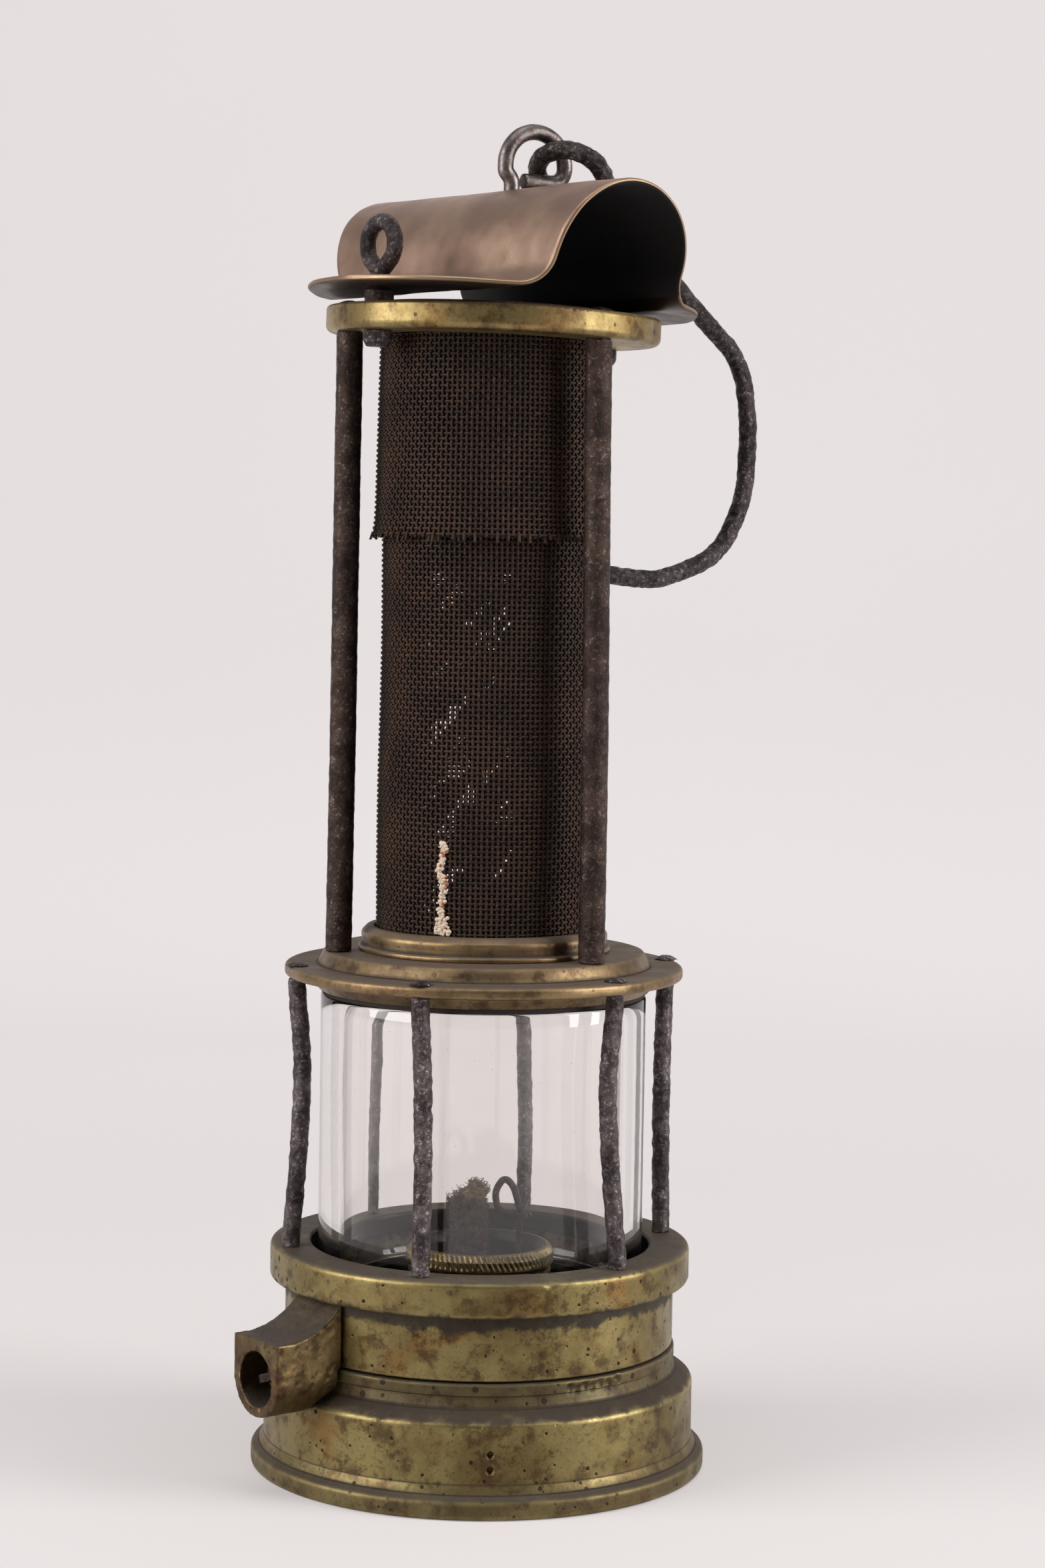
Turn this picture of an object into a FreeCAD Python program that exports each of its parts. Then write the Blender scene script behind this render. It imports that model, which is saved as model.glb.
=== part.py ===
"""Miner's flame safety lamp: oil vessel, glass cylinder, wire gauze, bonnet hood and hanging hook.

Millimetres, +Z up, origin at the centre of the foot on the table. -Y is the front.
The cage (everything above the oil vessel) unscrews from the vessel as one unit.
"""
import FreeCAD, Part
import math
import os
from FreeCAD import Vector

# ---------------------------------------------------------------- driving dimensions (mm, degrees)
# fits and clearances
running_fit = 0.05        # radial play of a turning or screwed pair
press_gap = 0.02          # radial play of a soldered or riveted pair
swivel_play = 0.15        # end play of the swivelling hanging eye

# oil vessel
foot_radius = 44.0
foot_height = 3.4
foot_lip = 2.4            # how far the foot stands out past the drum
drum_base = 6.1           # where the straight side of the drum starts
drum_top = 17.2           # where the drum turns in to its shoulder
shoulder_width = 3.6      # from the drum in to the band
band_height = 2.3
screw_radius = 34.0       # screwed neck that the cage turns on
screw_height = 7.2
vessel_wall = 1.7
deck_thickness = 1.6
shoulder_height = 4.2
bottom_recess = 8.6       # how far the bottom plate sits above the table
bottom_thickness = 1.2

# burner
socket_radius = 13.9
socket_height = 7.3
socket_bore = 13.0
socket_ledge_bore = 10.4
socket_ledge = 1.1
burner_head_radius = 14.3
burner_head_height = 3.8
burner_bore = 11.6
burner_mouth = 12.6
burner_gap = 0.8          # open groove between the knurled head and the socket
knurl_count = 84
knurl_depth = 0.3
plate_thickness = 1.2
wick_x = -2.4
wick_tube_radius = 4.1
wick_tube_wall = 0.6
wick_tube_rise = 3.5
wick_tube_drop = 7.0
wick_radius = 3.4
wick_tip_z = 55.6
pricker_x = 7.6
pricker_y = 2.6
pricker_radius = 0.68
pricker_tube_wall = 0.7
pricker_cross_z = 48.0    # height where the end of the wire crosses its stem
# corners of the pricker's teardrop loop, (across, up) from the crossing, round to the wire's end
pricker_bow = [
    (0.0, -2.5), (0.3, 0.4), (-1.2, 5.6), (-3.0, 7.4), (-4.9, 4.6), (-4.2, 0.9), (0.0, -0.4), (2.2, 0.6),
]
finger_loop_radius = 4.6
finger_loop_z = 2.3

# cage, lower half
collar_radius = 37.6
collar_gap = 0.3          # between the vessel's band and the collar
collar_height = 12.3
flange_radius = 40.6
flange_height = 6.8
flange_lip = 32.8         # opening that the glass stands in
flange_lip_height = 4.0
washer_thickness = 0.8
glass_ring_height = 2.5
glass_ring_bore = 26.4
gasket_thickness = 0.8
glass_radius = 31.4
glass_wall = 4.2
glass_height = 56.3
seat_height = 2.6
seat_ledge = 4.5          # from the gauze out to the glass seat's bore
seat_top_radius = 33.7
seat_bottom_radius = 31.8
pillar_count = 6
pillar_first_angle = 15.0
pillar_circle = 36.7
pillar_radius = 1.9
pillar_tenon = 1.4
pillar_tenon_depth = 3.6
tenon_end_gap = 0.3       # left under a tenon in its blind hole
rivet_radius = 2.5
rivet_height = 1.1
# how far each forged pillar strays from its circle, (outward, sideways), at its foot, a third,
# two thirds and its head
pillar_strays = [
    ((0.0, 0.0), (-0.3, 0.2), (-0.4, -0.2), (0.0, 0.0)),
    ((0.0, 0.0), (-0.6, -0.4), (-0.3, 0.5), (0.0, 0.0)),
    ((0.0, 0.0), (-0.5, 0.5), (-0.8, -0.4), (0.0, 0.0)),
    ((0.6, 0.0), (-0.6, 0.2), (-1.3, 0.5), (0.0, 0.0)),
    ((0.0, -1.0), (-0.5, -0.9), (-0.4, -1.1), (0.0, -1.7)),
    ((0.0, 0.0), (-0.6, -1.5), (-1.0, -2.6), (-0.85, -0.85)),
]

# cage, upper half
middle_radius = 38.4
middle_thickness = 2.3
step_radius = 32.1
step_top_radius = 30.8
step_height = 2.7
gauze_collar_radius = 23.8
gauze_collar_height = 4.6
gauze_radius = 20.9
gauze_top_radius = 20.2
gauze_wall = 0.6
gauze_flange = 1.3        # turned-out foot of the gauze under its collar
outer_gauze_length = 37.5
outer_gauze_flare = 4.0   # height of its turned-out lower edge
outer_gauze_radius = 22.4
outer_gauze_top_radius = 21.4
crown_height = 0.9
post_count = 3
post_first_angle = 75.0
post_circle = 28.7
post_top_circle = 27.9
post_radius = 2.6
post_tenon = 1.9
post_edge = 4.0           # axis of a post to the top plate's rim
top_thickness = 5.0
top_underside = 216.6     # height of the top plate's underside on the axis
top_lean = 1.6            # the top plate leans down to the right

# hood
hood_turn = 50.0          # the ridge runs towards the front right, this far off the X axis
hood_x = 2.1
hood_y = 0.6
hood_tilt = 2.9           # the far flange sits lower than the near one
hood_lift = 2.3           # middle of the flange sheet above the top plate
hood_sheet = 1.0
arch_radius = 15.35       # middle of the sheet
arch_bend = 5.1           # bend between arch and flange
hood_length = 37.0        # half length of the blank along the ridge
hood_spread = 51.5        # half width of the flat blank across the ridge
fixing_edge = 4.9         # axis of an eyebolt to the top plate's rim
fixing_angle = 38.0
eyebolt_radius = 1.6
eyebolt_loop = 4.15
eyebolt_rise = 12.9       # top of the loop above the hood's flange
eyebolt_neck = 5.3        # centre of the loop to where its legs meet
fixing_rivet_radius = 2.8
fixing_rivet_height = 3.2
spacer_radius = 2.8
spacer_gap = 0.2          # between the gauze crown and a spacer

# hanging eye (D-shaped loop of wire that swivels in the hood) and hook
eye_x = 3.1
eye_y = -1.4
eye_turn = 30.0           # the loop's plane, off the X axis
eye_wire = 1.55
eye_loop = 6.5            # radius of the loop's round top
eye_corner = 2.9
eye_clearance = 0.25      # between the loop's foot and the ridge
eye_back = 1.4            # how far the loop's back leg leans behind its stem
eye_end = 2.4             # where the cut end of the wire stops short of the stem
eye_head_radius = 3.0
eye_washer_radius = 3.6
eye_washer_thickness = 1.0
eye_head_height = 1.2
hook_wire = 1.95
hook_eye_loop = 6.7
hook_eye_offset = (11.28, 5.03, -1.4)   # middle of the hanging eye to the middle of the hook's eye
hook_eye_turn = -22.4
hook_eye_lean = -48.8
hook_turn = 38.0          # the hook hangs in this upright plane
hook_offset = 5.15        # that plane's distance in front of the axis
hook_tip_radius = 1.5
hook_tip_length = 3.0
hook_shoulder = 8.0       # straight run of the shank beside its eye
# bends of the hook down to its tip: (distance out from the axis, height from the hook's eye)
hook_bends = [
    (44.5, -22.4), (58.4, -33.0), (61.0, -45.2), (60.0, -61.2), (53.4, -72.0), (38.0, -77.2), (26.0, -76.0),
]

# side lock on the collar
lock_angle = 218.0
lock_axis_z = 22.8
lock_stand = 10.4         # the mouth of the barrel beyond the drum
lock_width = 14.4
lock_top = 30.4
lock_bore = 5.15
lock_screw = 2.9
lock_bore_depth = 6.5
vessel_clearance = 0.7    # between the lock barrel and the vessel that turns past it
tang_width = 4.6
tang_thickness = 1.7
tang_mouth = 1.2          # the tang ends this far inside the mouth

# ---------------------------------------------------------------- heights that follow
band_bottom = drum_top + shoulder_height + 0.2
band_top = band_bottom + band_height
deck_z = band_top + screw_height
socket_top = deck_z + socket_height
plate_z = deck_z + socket_ledge
head_bottom = socket_top + burner_gap
head_top = head_bottom + burner_head_height
collar_bottom = band_top + collar_gap
flange_bottom = collar_bottom + collar_height
flange_top = flange_bottom + flange_height
glass_ring_z = deck_z + washer_thickness
gasket_z = glass_ring_z + glass_ring_height
glass_z = gasket_z + gasket_thickness
glass_top = glass_z + glass_height
seat_z = glass_top + gasket_thickness
middle_z = seat_z + seat_height
middle_top = middle_z + middle_thickness
step_z = middle_top + step_height
gauze_z = step_z - gauze_wall
top_surface = top_underside + top_thickness
drum_radius = foot_radius - foot_lip
band_radius = drum_radius - shoulder_width
drum_bore = drum_radius - vessel_wall
lock_reach = drum_radius + lock_stand     # axis of the lamp to the mouth of the barrel
lock_seat = lock_reach - lock_bore_depth
top_radius = post_top_circle + post_edge
fixing_circle = top_radius - fixing_edge
crown_radius = fixing_circle - spacer_radius - spacer_gap
neck_bore = screw_radius - vessel_wall
ridge_z = top_surface + hood_lift + arch_bend + arch_radius    # middle of the sheet at the ridge
eye_centre_z = ridge_z + hood_sheet / 2 + eye_clearance + eye_wire + eye_corner

Z = Vector(0, 0, 1)
ORIGIN = Vector(0, 0, 0)


# ---------------------------------------------------------------- helpers
def polar(radius, angle, z=0.0):
    """Point at a radius and an angle in degrees from +X."""
    return Vector(radius * math.cos(math.radians(angle)), radius * math.sin(math.radians(angle)), z)


def rounded_wire(points, closed=True):
    """Wire through 2-D corners (r, z[, corner radius]) drawn in the XZ plane."""
    count = len(points)
    corners = [Vector(p[0], 0, p[1]) for p in points]
    radii = [p[2] if len(p) > 2 else 0.0 for p in points]
    starts, ends, arcs = [], [], []
    for i in range(count):
        here = corners[i]
        inner = closed or 0 < i < count - 1
        if radii[i] <= 0 or not inner:
            starts.append(here)
            ends.append(here)
            arcs.append(None)
            continue
        back = (corners[i - 1] - here).normalize()
        ahead = (corners[(i + 1) % count] - here).normalize()
        half = back.getAngle(ahead) / 2
        reach = radii[i] / math.tan(half)
        centre = here + (back + ahead).normalize() * (radii[i] / math.sin(half))
        middle = centre + (here - centre).normalize() * radii[i]
        starts.append(here + back * reach)
        ends.append(here + ahead * reach)
        arcs.append(Part.Arc(starts[i], middle, ends[i]).toShape())
    edges = []
    for i in range(count if closed else count - 1):
        after = (i + 1) % count
        if arcs[i]:
            edges.append(arcs[i])
        if (starts[after] - ends[i]).Length > 1e-6:
            edges.append(Part.LineSegment(ends[i], starts[after]).toShape())
    return Part.Wire(edges)


def turned(points):
    """Solid of revolution about Z from a closed outline of (r, z[, corner radius])."""
    return Part.Face(rounded_wire(points)).revolve(ORIGIN, Z, 360)


def ring(outer, inner, z, height):
    """Plain flat ring."""
    body = Part.makeCylinder(outer, height, Vector(0, 0, z))
    if inner > 0:
        body = body.cut(Part.makeCylinder(inner, height, Vector(0, 0, z)))
    return body


def bent_path(points, share=0.45):
    """Straight runs joined by tangent arcs, as wire bends."""
    edges = []
    at = points[0]
    for i in range(1, len(points) - 1):
        back = points[i - 1] - points[i]
        ahead = points[i + 1] - points[i]
        reach = share * min(back.Length, ahead.Length)
        back.normalize()
        ahead.normalize()
        start = points[i] + back * reach
        end = points[i] + ahead * reach
        half = back.getAngle(ahead) / 2
        bisector = (back + ahead).normalize()
        centre = points[i] + bisector * (reach / math.cos(half))
        middle = centre - bisector * (reach * math.tan(half))
        edges.append(Part.LineSegment(at, start).toShape())
        edges.append(Part.Arc(start, middle, end).toShape())
        at = end
    edges.append(Part.LineSegment(at, points[-1]).toShape())
    return Part.Wire(edges)


def swept(path, radius):
    """Round bar along a path."""
    first = path.Edges[0]
    start = first.valueAt(first.FirstParameter)
    along = first.tangentAt(first.FirstParameter)
    section = Part.Wire(Part.makeCircle(radius, start, along))
    bar = path.makePipeShell([section], True, False)
    return bar if bar.Volume > 0 else bar.reversed()


def rod(points, radius, share=0.45):
    """Round bar bent through a list of points."""
    return swept(bent_path(points, share), radius)


def in_top_frame(shape):
    """Leans a piece that was drawn level with the top plate."""
    leaned = shape.copy()
    leaned.rotate(Vector(0, 0, top_underside), Vector(0, 1, 0), top_lean)
    return leaned


def in_hood_frame(shape):
    """Places a piece drawn about the hood's own axes: X along the ridge, foot of the arch at z = 0."""
    placed = shape.copy()
    placed.rotate(ORIGIN, Vector(1, 0, 0), -hood_tilt)
    placed.rotate(ORIGIN, Z, -hood_turn)
    placed.translate(Vector(hood_x, hood_y, top_surface + hood_lift))
    return placed


def half_space_above_top_plate():
    """Big block whose lower face is the top plate's underside."""
    size = 4 * top_radius
    return in_top_frame(Part.makeBox(size, size, size, Vector(-size / 2, -size / 2, top_underside)))


# ---------------------------------------------------------------- oil vessel
def oil_vessel():
    outline = [
        (drum_bore, 0), (foot_radius, 0, 0.9), (foot_radius, foot_height, 1.0),
        (drum_radius + 0.9, foot_height + 1.0, 0.7), (drum_radius, drum_base, 0.3),
        (drum_radius, drum_top, 1.3), (drum_radius - 1.6, drum_top + 1.1, 0.7),
        (band_radius + 0.2, drum_top + 2.2, 1.2), (band_radius - 0.4, band_bottom, 0.1),
        (band_radius, band_bottom, 0.2), (band_radius, band_top, 0.4),
        (screw_radius, band_top), (screw_radius, deck_z, 0.4),
        (socket_ledge_bore, deck_z), (socket_ledge_bore, deck_z - deck_thickness),
        (neck_bore, deck_z - deck_thickness, 0.8), (neck_bore, band_top - 1.5, 1.0),
        (drum_bore, drum_top - 1.2, 1.0),
    ]
    return turned(outline).cut(pricker_way(deck_z - deck_thickness, deck_z))


def vessel_bottom():
    plate = ring(drum_bore - press_gap, 0, bottom_recess, bottom_thickness)
    return plate.cut(pricker_way(bottom_recess, bottom_recess + bottom_thickness))


def burner_socket():
    rim = 0.5
    return turned([
        (socket_ledge_bore, deck_z), (socket_radius - rim, deck_z),
        (socket_radius - rim, socket_top - 2.2, 0.3), (socket_radius, socket_top - 1.5, 0.3),
        (socket_radius, socket_top, 0.4), (socket_bore, socket_top, 0.2),
        (socket_bore, plate_z), (socket_ledge_bore, plate_z),
    ])


# ---------------------------------------------------------------- burner
def pricker_way(low, high):
    """Hole for the pricker's tube through a plate."""
    hole = pricker_radius + running_fit + pricker_tube_wall + press_gap
    return Part.makeCylinder(hole, high - low + 2, Vector(pricker_x, pricker_y, low - 1))


def burner_plate():
    plate = ring(socket_bore - running_fit, 0, plate_z, plate_thickness)
    wick_hole = Part.makeCylinder(wick_tube_radius + press_gap, plate_thickness,
                                  Vector(wick_x, 0, plate_z))
    return plate.cut(wick_hole).cut(pricker_way(plate_z, plate_z + plate_thickness))


def wick_tube():
    low = plate_z - wick_tube_drop
    height = wick_tube_drop + plate_thickness + wick_tube_rise
    tube = Part.makeCylinder(wick_tube_radius, height, Vector(wick_x, 0, low))
    bore = Part.makeCylinder(wick_tube_radius - wick_tube_wall, height, Vector(wick_x, 0, low))
    return tube.cut(bore)


def wick():
    """Plain closed form of the cotton: a plug in the tube and a frayed tuft above it."""
    tube_top = plate_z + plate_thickness + wick_tube_rise
    low = plate_z - wick_tube_drop - 3.0
    tuft = [
        (0, low), (wick_radius, low, 0.6), (wick_radius, tube_top + 0.4, 0.4),
        (wick_radius + 0.9, tube_top + 2.4, 1.0), (wick_radius + 0.7, wick_tip_z - 3.4, 1.4),
        (wick_radius - 0.8, wick_tip_z, 1.2), (0, wick_tip_z),
    ]
    plug = turned(tuft)
    plug.translate(Vector(wick_x, 0, 0))
    return plug


def burner_ring():
    """Knurled union ring: a grooved head over a sleeve that holds the burner plate down."""
    sleeve = socket_bore - running_fit
    plate_top = plate_z + plate_thickness
    body = turned([
        (burner_bore, plate_top), (sleeve, plate_top), (sleeve, head_bottom),
        (burner_head_radius - 0.5, head_bottom), (burner_head_radius, head_bottom + 0.5),
        (burner_head_radius, head_top - 1.3, 0.3), (burner_head_radius - 0.9, head_top, 0.7),
        (burner_mouth, head_top, 0.3), (burner_bore, head_top - 1.8, 0.5),
    ])
    groove_low = head_bottom + 0.5
    groove_height = burner_head_height - 1.9
    notch = Part.makeCylinder(knurl_depth, groove_height, Vector(burner_head_radius + 0.08, 0, groove_low))
    notches = []
    for i in range(knurl_count):
        one = notch.copy()
        one.rotate(ORIGIN, Z, 360.0 * i / knurl_count)
        notches.append(one)
    return body.cut(Part.makeCompound(notches))


def pricker_tube():
    inner = pricker_radius + running_fit
    outer = inner + pricker_tube_wall
    height = plate_z + plate_thickness + 1.5 - bottom_recess
    foot = Vector(pricker_x, pricker_y, bottom_recess)
    return Part.makeCylinder(outer, height, foot).cut(Part.makeCylinder(inner, height, foot))


def pricker():
    """Wire that trims the wick: a teardrop loop above, a flat finger loop under the vessel."""
    crossing = Vector(pricker_x, pricker_y, pricker_cross_z)
    in_front = Vector(0, -2.2 * pricker_radius, 0)
    down = Vector(pricker_x, pricker_y, finger_loop_z)
    finger_joint = down - Vector(0.9 * finger_loop_radius, 0, 0)
    finger_centre = finger_joint - Vector(finger_loop_radius, 0, 0)
    route = [finger_joint, down]
    for step, (across, up) in enumerate(pricker_bow):
        route.append(crossing + Vector(across, 0, up) + in_front * min(1.0, step / (len(pricker_bow) - 2.0)))
    loop = Part.makeTorus(finger_loop_radius, pricker_radius, finger_centre, Z)
    return rod(route, pricker_radius).fuse(loop).removeSplitter()


# ---------------------------------------------------------------- cage, lower half
def vessel_washer():
    return ring(screw_radius - 0.6, glass_ring_bore, deck_z, washer_thickness)


def lower_ring():
    bore = screw_radius + running_fit
    lip_z = flange_top - flange_lip_height
    body = turned([
        (bore, collar_bottom, 0.3), (collar_radius, collar_bottom, 0.5),
        (collar_radius, flange_bottom), (flange_radius, flange_bottom, 0.8),
        (flange_radius, flange_top, 1.1), (flange_lip, flange_top, 0.4),
        (flange_lip, lip_z), (bore, lip_z),
    ])
    holes = []
    for i in range(pillar_count):
        foot = pillar_point(i, 0, flange_top - pillar_tenon_depth)
        holes.append(Part.makeCylinder(pillar_tenon + press_gap, pillar_tenon_depth, foot))
    return body.cut(Part.makeCompound(holes))


def pillar_point(i, level, z):
    """Axis of a forged pillar at its foot (0), a third (1), two thirds (2) or its head (3)."""
    outward, sideways = pillar_strays[i % len(pillar_strays)][level]
    angle = pillar_first_angle + 360.0 * i / pillar_count
    return polar(pillar_circle + outward, angle, z) + polar(sideways, angle + 90)


def guard_pillar(i):
    """Hand-forged pillar with a tenon in the flange and a riveted head on the middle plate."""
    rise = middle_z - flange_top
    foot = pillar_point(i, 0, flange_top)
    low = pillar_point(i, 1, flange_top + 0.33 * rise)
    high = pillar_point(i, 2, flange_top + 0.68 * rise)
    head = pillar_point(i, 3, middle_z)
    upright = Z * (0.04 * rise)
    bar = rod([foot, foot + upright, low, high, head - upright, head], pillar_radius)
    depth = pillar_tenon_depth - tenon_end_gap
    lower_tenon = Part.makeCylinder(pillar_tenon, depth + 1, foot - Z * depth)
    upper_tenon = Part.makeCylinder(pillar_tenon, middle_thickness + 1.2, head - Z)
    cap = dome(rivet_radius, rivet_height)
    cap.translate(pillar_point(i, 3, middle_top))
    return bar.fuse([lower_tenon, upper_tenon, cap]).removeSplitter()


def dome(radius, height):
    """Low rivet head standing on z = 0."""
    sphere = (radius ** 2 + height ** 2) / (2 * height)
    ball = Part.makeSphere(sphere, Vector(0, 0, height - sphere))
    block = Part.makeBox(4 * sphere, 4 * sphere, 4 * sphere, Vector(-2 * sphere, -2 * sphere, -4 * sphere))
    return ball.cut(block)


def glass_ring():
    """Screwed ring that holds the glass up from below."""
    return ring(screw_radius - running_fit, glass_ring_bore, glass_ring_z, glass_ring_height)


def gasket(z):
    edge = 0.2
    return ring(glass_radius - edge, glass_radius - glass_wall + edge, z, gasket_thickness)


def glass_cylinder():
    inner = glass_radius - glass_wall
    edge = 0.6
    return turned([
        (inner, glass_z, edge), (glass_radius, glass_z, edge),
        (glass_radius, glass_top, edge), (inner, glass_top, edge),
    ])


# ---------------------------------------------------------------- cage, upper half
def glass_seat():
    bore = gauze_radius + seat_ledge
    return turned([
        (bore, seat_z), (seat_bottom_radius, seat_z, 0.4), (seat_top_radius, middle_z), (bore, middle_z),
    ])


def middle_plate():
    bore = gauze_radius - gauze_wall - 0.4
    pocket = gauze_radius + gauze_flange + 0.1
    body = turned([
        (bore, middle_z), (middle_radius, middle_z, 0.7), (middle_radius, middle_top, 0.9),
        (step_radius, middle_top, 0.3), (step_top_radius, step_z, 0.6), (pocket, step_z),
        (pocket, gauze_z), (bore, gauze_z),
    ])
    holes = []
    for i in range(pillar_count):
        foot = pillar_point(i, 3, middle_z)
        holes.append(Part.makeCylinder(pillar_tenon + press_gap, middle_thickness, foot))
    return body.cut(Part.makeCompound(holes))


def gauze_collar():
    """Beaded brass ring that clamps the gauze foot to the middle plate."""
    bore = gauze_radius + 0.35
    top = step_z + gauze_collar_height
    return turned([
        (bore, step_z), (gauze_collar_radius + 0.5, step_z, 0.2),
        (gauze_collar_radius + 0.5, step_z + 0.8, 0.4), (gauze_collar_radius - 0.2, step_z + 1.3, 0.5),
        (gauze_collar_radius, top - 1.2, 1.0), (gauze_collar_radius - 1.2, top, 0.7), (bore, top, 0.3),
    ])


def main_gauze():
    """Cylinder of iron gauze, drawn here as its smooth envelope."""
    top = top_underside + 1.0
    foot = gauze_radius + gauze_flange
    return turned([
        (gauze_radius - gauze_wall, gauze_z), (foot, gauze_z), (foot, gauze_z + gauze_wall),
        (gauze_radius, gauze_z + gauze_wall), (gauze_top_radius, top),
        (gauze_top_radius - gauze_wall, top),
    ])


def outer_gauze():
    """Short second gauze round the top of the first, with a raw lower edge that stands off."""
    top = top_surface - 1.3
    low = top_underside - outer_gauze_length
    return turned([
        (outer_gauze_radius - gauze_wall, low), (outer_gauze_radius, low),
        (outer_gauze_radius - 0.6, low + outer_gauze_flare), (outer_gauze_top_radius, top_underside - 1.0),
        (outer_gauze_top_radius, top), (outer_gauze_top_radius - gauze_wall, top),
        (outer_gauze_top_radius - gauze_wall, top_underside - 1.0),
        (outer_gauze_radius - gauze_wall - 0.6, low + outer_gauze_flare),
    ])


def gauze_crown():
    """Folded gauze that closes the top, standing a little proud of the top plate."""
    crown = turned([
        (0, top_surface), (crown_radius, top_surface, 0.2),
        (crown_radius - 0.3, top_surface + crown_height, 0.4),
        (0, top_surface + crown_height + 0.3),
    ])
    return in_top_frame(crown)


def post_angle(i):
    return post_first_angle + 360.0 * i / post_count


def upper_post(i):
    """Pillar between the middle plate's step and the top plate, riveted over at the top."""
    angle = post_angle(i)
    foot = polar(post_circle, angle, step_z)
    head = polar(post_top_circle, angle, top_underside + 2.0)
    bow = polar(0.35, angle + 90)
    rise = head.z - foot.z
    third = (head - foot) * 0.33 + foot + bow
    second = (head - foot) * 0.66 + foot + bow * 0.4
    bar = rod([foot, foot + Z * (0.03 * rise), third, second, head - Z * (0.03 * rise), head], post_radius)
    bar = bar.cut(half_space_above_top_plate())
    shoulder = polar(post_top_circle, angle, top_underside - 1.0)
    tenon = Part.makeCylinder(post_tenon, top_thickness + 1.0, shoulder)
    cap = dome(post_radius + 0.4, 0.9)
    cap.translate(polar(post_top_circle, angle, top_surface))
    return bar.fuse([in_top_frame(tenon), in_top_frame(cap)]).removeSplitter()


def top_plate():
    bore = outer_gauze_top_radius + 0.35
    body = turned([
        (bore, top_underside), (top_radius, top_underside, 1.4), (top_radius, top_surface, 0.7),
        (bore, top_surface),
    ])
    holes = []
    for i in range(post_count):
        foot = polar(post_top_circle, post_angle(i), top_underside)
        holes.append(Part.makeCylinder(post_tenon + press_gap, top_thickness, foot))
    for side in (0, 180):
        foot = polar(fixing_circle, fixing_angle + side, top_underside - 2)
        holes.append(Part.makeCylinder(eyebolt_radius + running_fit, top_thickness + 4, foot))
    return in_top_frame(body).cut(in_top_frame(Part.makeCompound(holes)))


# ---------------------------------------------------------------- hood
def blank_half_length(developed):
    """Half length of the oval blank at a developed distance from the ridge."""
    return hood_length * math.sqrt(max(0.0, 1 - (developed / hood_spread) ** 2))


def hood():
    """Oval brass blank bent over into an arch with a half-moon flange on each side."""
    half = hood_sheet / 2
    foot = arch_radius + arch_bend
    reach = hood_spread - math.pi / 2 * foot + foot + 1.0
    outer = arch_radius + half
    inner = arch_radius - half
    above = arch_bend - half
    below = arch_bend + half
    long = hood_length + 2.0

    def at(u, w):
        return Vector(-long, u, w)

    def quarter(centre_u, radius, start, end):
        """Arc about (centre_u, arch_bend) from one angle to another, in degrees."""
        points = []
        for angle in (start, (start + end) / 2, end):
            turn = math.radians(angle)
            points.append(at(centre_u + radius * math.cos(turn), arch_bend + radius * math.sin(turn)))
        return Part.Arc(*points).toShape()

    edges = [
        Part.LineSegment(at(-reach, half), at(-foot, half)).toShape(),
        quarter(-foot, above, -90, 0),
        quarter(0, outer, 180, 0),
        quarter(foot, above, 180, 270),
        Part.LineSegment(at(foot, half), at(reach, half)).toShape(),
        Part.LineSegment(at(reach, half), at(reach, -half)).toShape(),
        Part.LineSegment(at(reach, -half), at(foot, -half)).toShape(),
        quarter(foot, below, 270, 180),
        quarter(0, inner, 0, 180),
        quarter(-foot, below, 0, -90),
        Part.LineSegment(at(-foot, -half), at(-reach, -half)).toShape(),
        Part.LineSegment(at(-reach, -half), at(-reach, half)).toShape(),
    ]
    sheet = Part.Face(Part.Wire(edges)).extrude(Vector(2 * long, 0, 0))
    shaped = sheet.common(arch_trim(foot).fuse(flange_trim(foot)))
    placed = in_hood_frame(shaped)
    return placed.cut(Part.makeCompound(hood_holes()))


def arch_trim(foot):
    """Block seen from the side of the ridge: its ends follow the oval blank round the arch."""
    side = []
    steps = 12
    quarter_bend = math.pi / 2 * arch_bend
    for i in range(steps + 1):
        turn = math.pi / 2 * i / steps
        side.append((arch_bend + arch_radius * math.cos(turn), blank_half_length(arch_radius * turn)))
    for i in range(1, 5):
        turn = math.pi / 2 * i / 4
        developed = arch_radius * math.pi / 2 + quarter_bend * i / 4
        side.append((arch_bend * (1 - math.sin(turn)), blank_half_length(developed)))
    low = -hood_sheet
    top = arch_bend + arch_radius + hood_sheet
    ends = []
    for sign in (-1, 1):
        curve = Part.BSplineCurve()
        curve.interpolate([Vector(sign * length, 0, w) for w, length in side])
        ends.append(curve.toShape())
    length_top = side[0][1]
    length_low = side[-1][1]
    edges = [
        Part.LineSegment(Vector(-length_low, 0, low), Vector(length_low, 0, low)).toShape(),
        Part.LineSegment(Vector(length_low, 0, low), Vector(length_low, 0, side[-1][0])).toShape(),
        ends[1],
        Part.LineSegment(Vector(length_top, 0, side[0][0]), Vector(length_top, 0, top)).toShape(),
        Part.LineSegment(Vector(length_top, 0, top), Vector(-length_top, 0, top)).toShape(),
        Part.LineSegment(Vector(-length_top, 0, top), Vector(-length_top, 0, side[0][0])).toShape(),
        ends[0],
        Part.LineSegment(Vector(-length_low, 0, side[-1][0]), Vector(-length_low, 0, low)).toShape(),
    ]
    face = Part.Face(Part.Wire(Part.__sortEdges__(edges)))
    face.translate(Vector(0, -foot, 0))
    return face.extrude(Vector(0, 2 * foot, 0))


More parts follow.
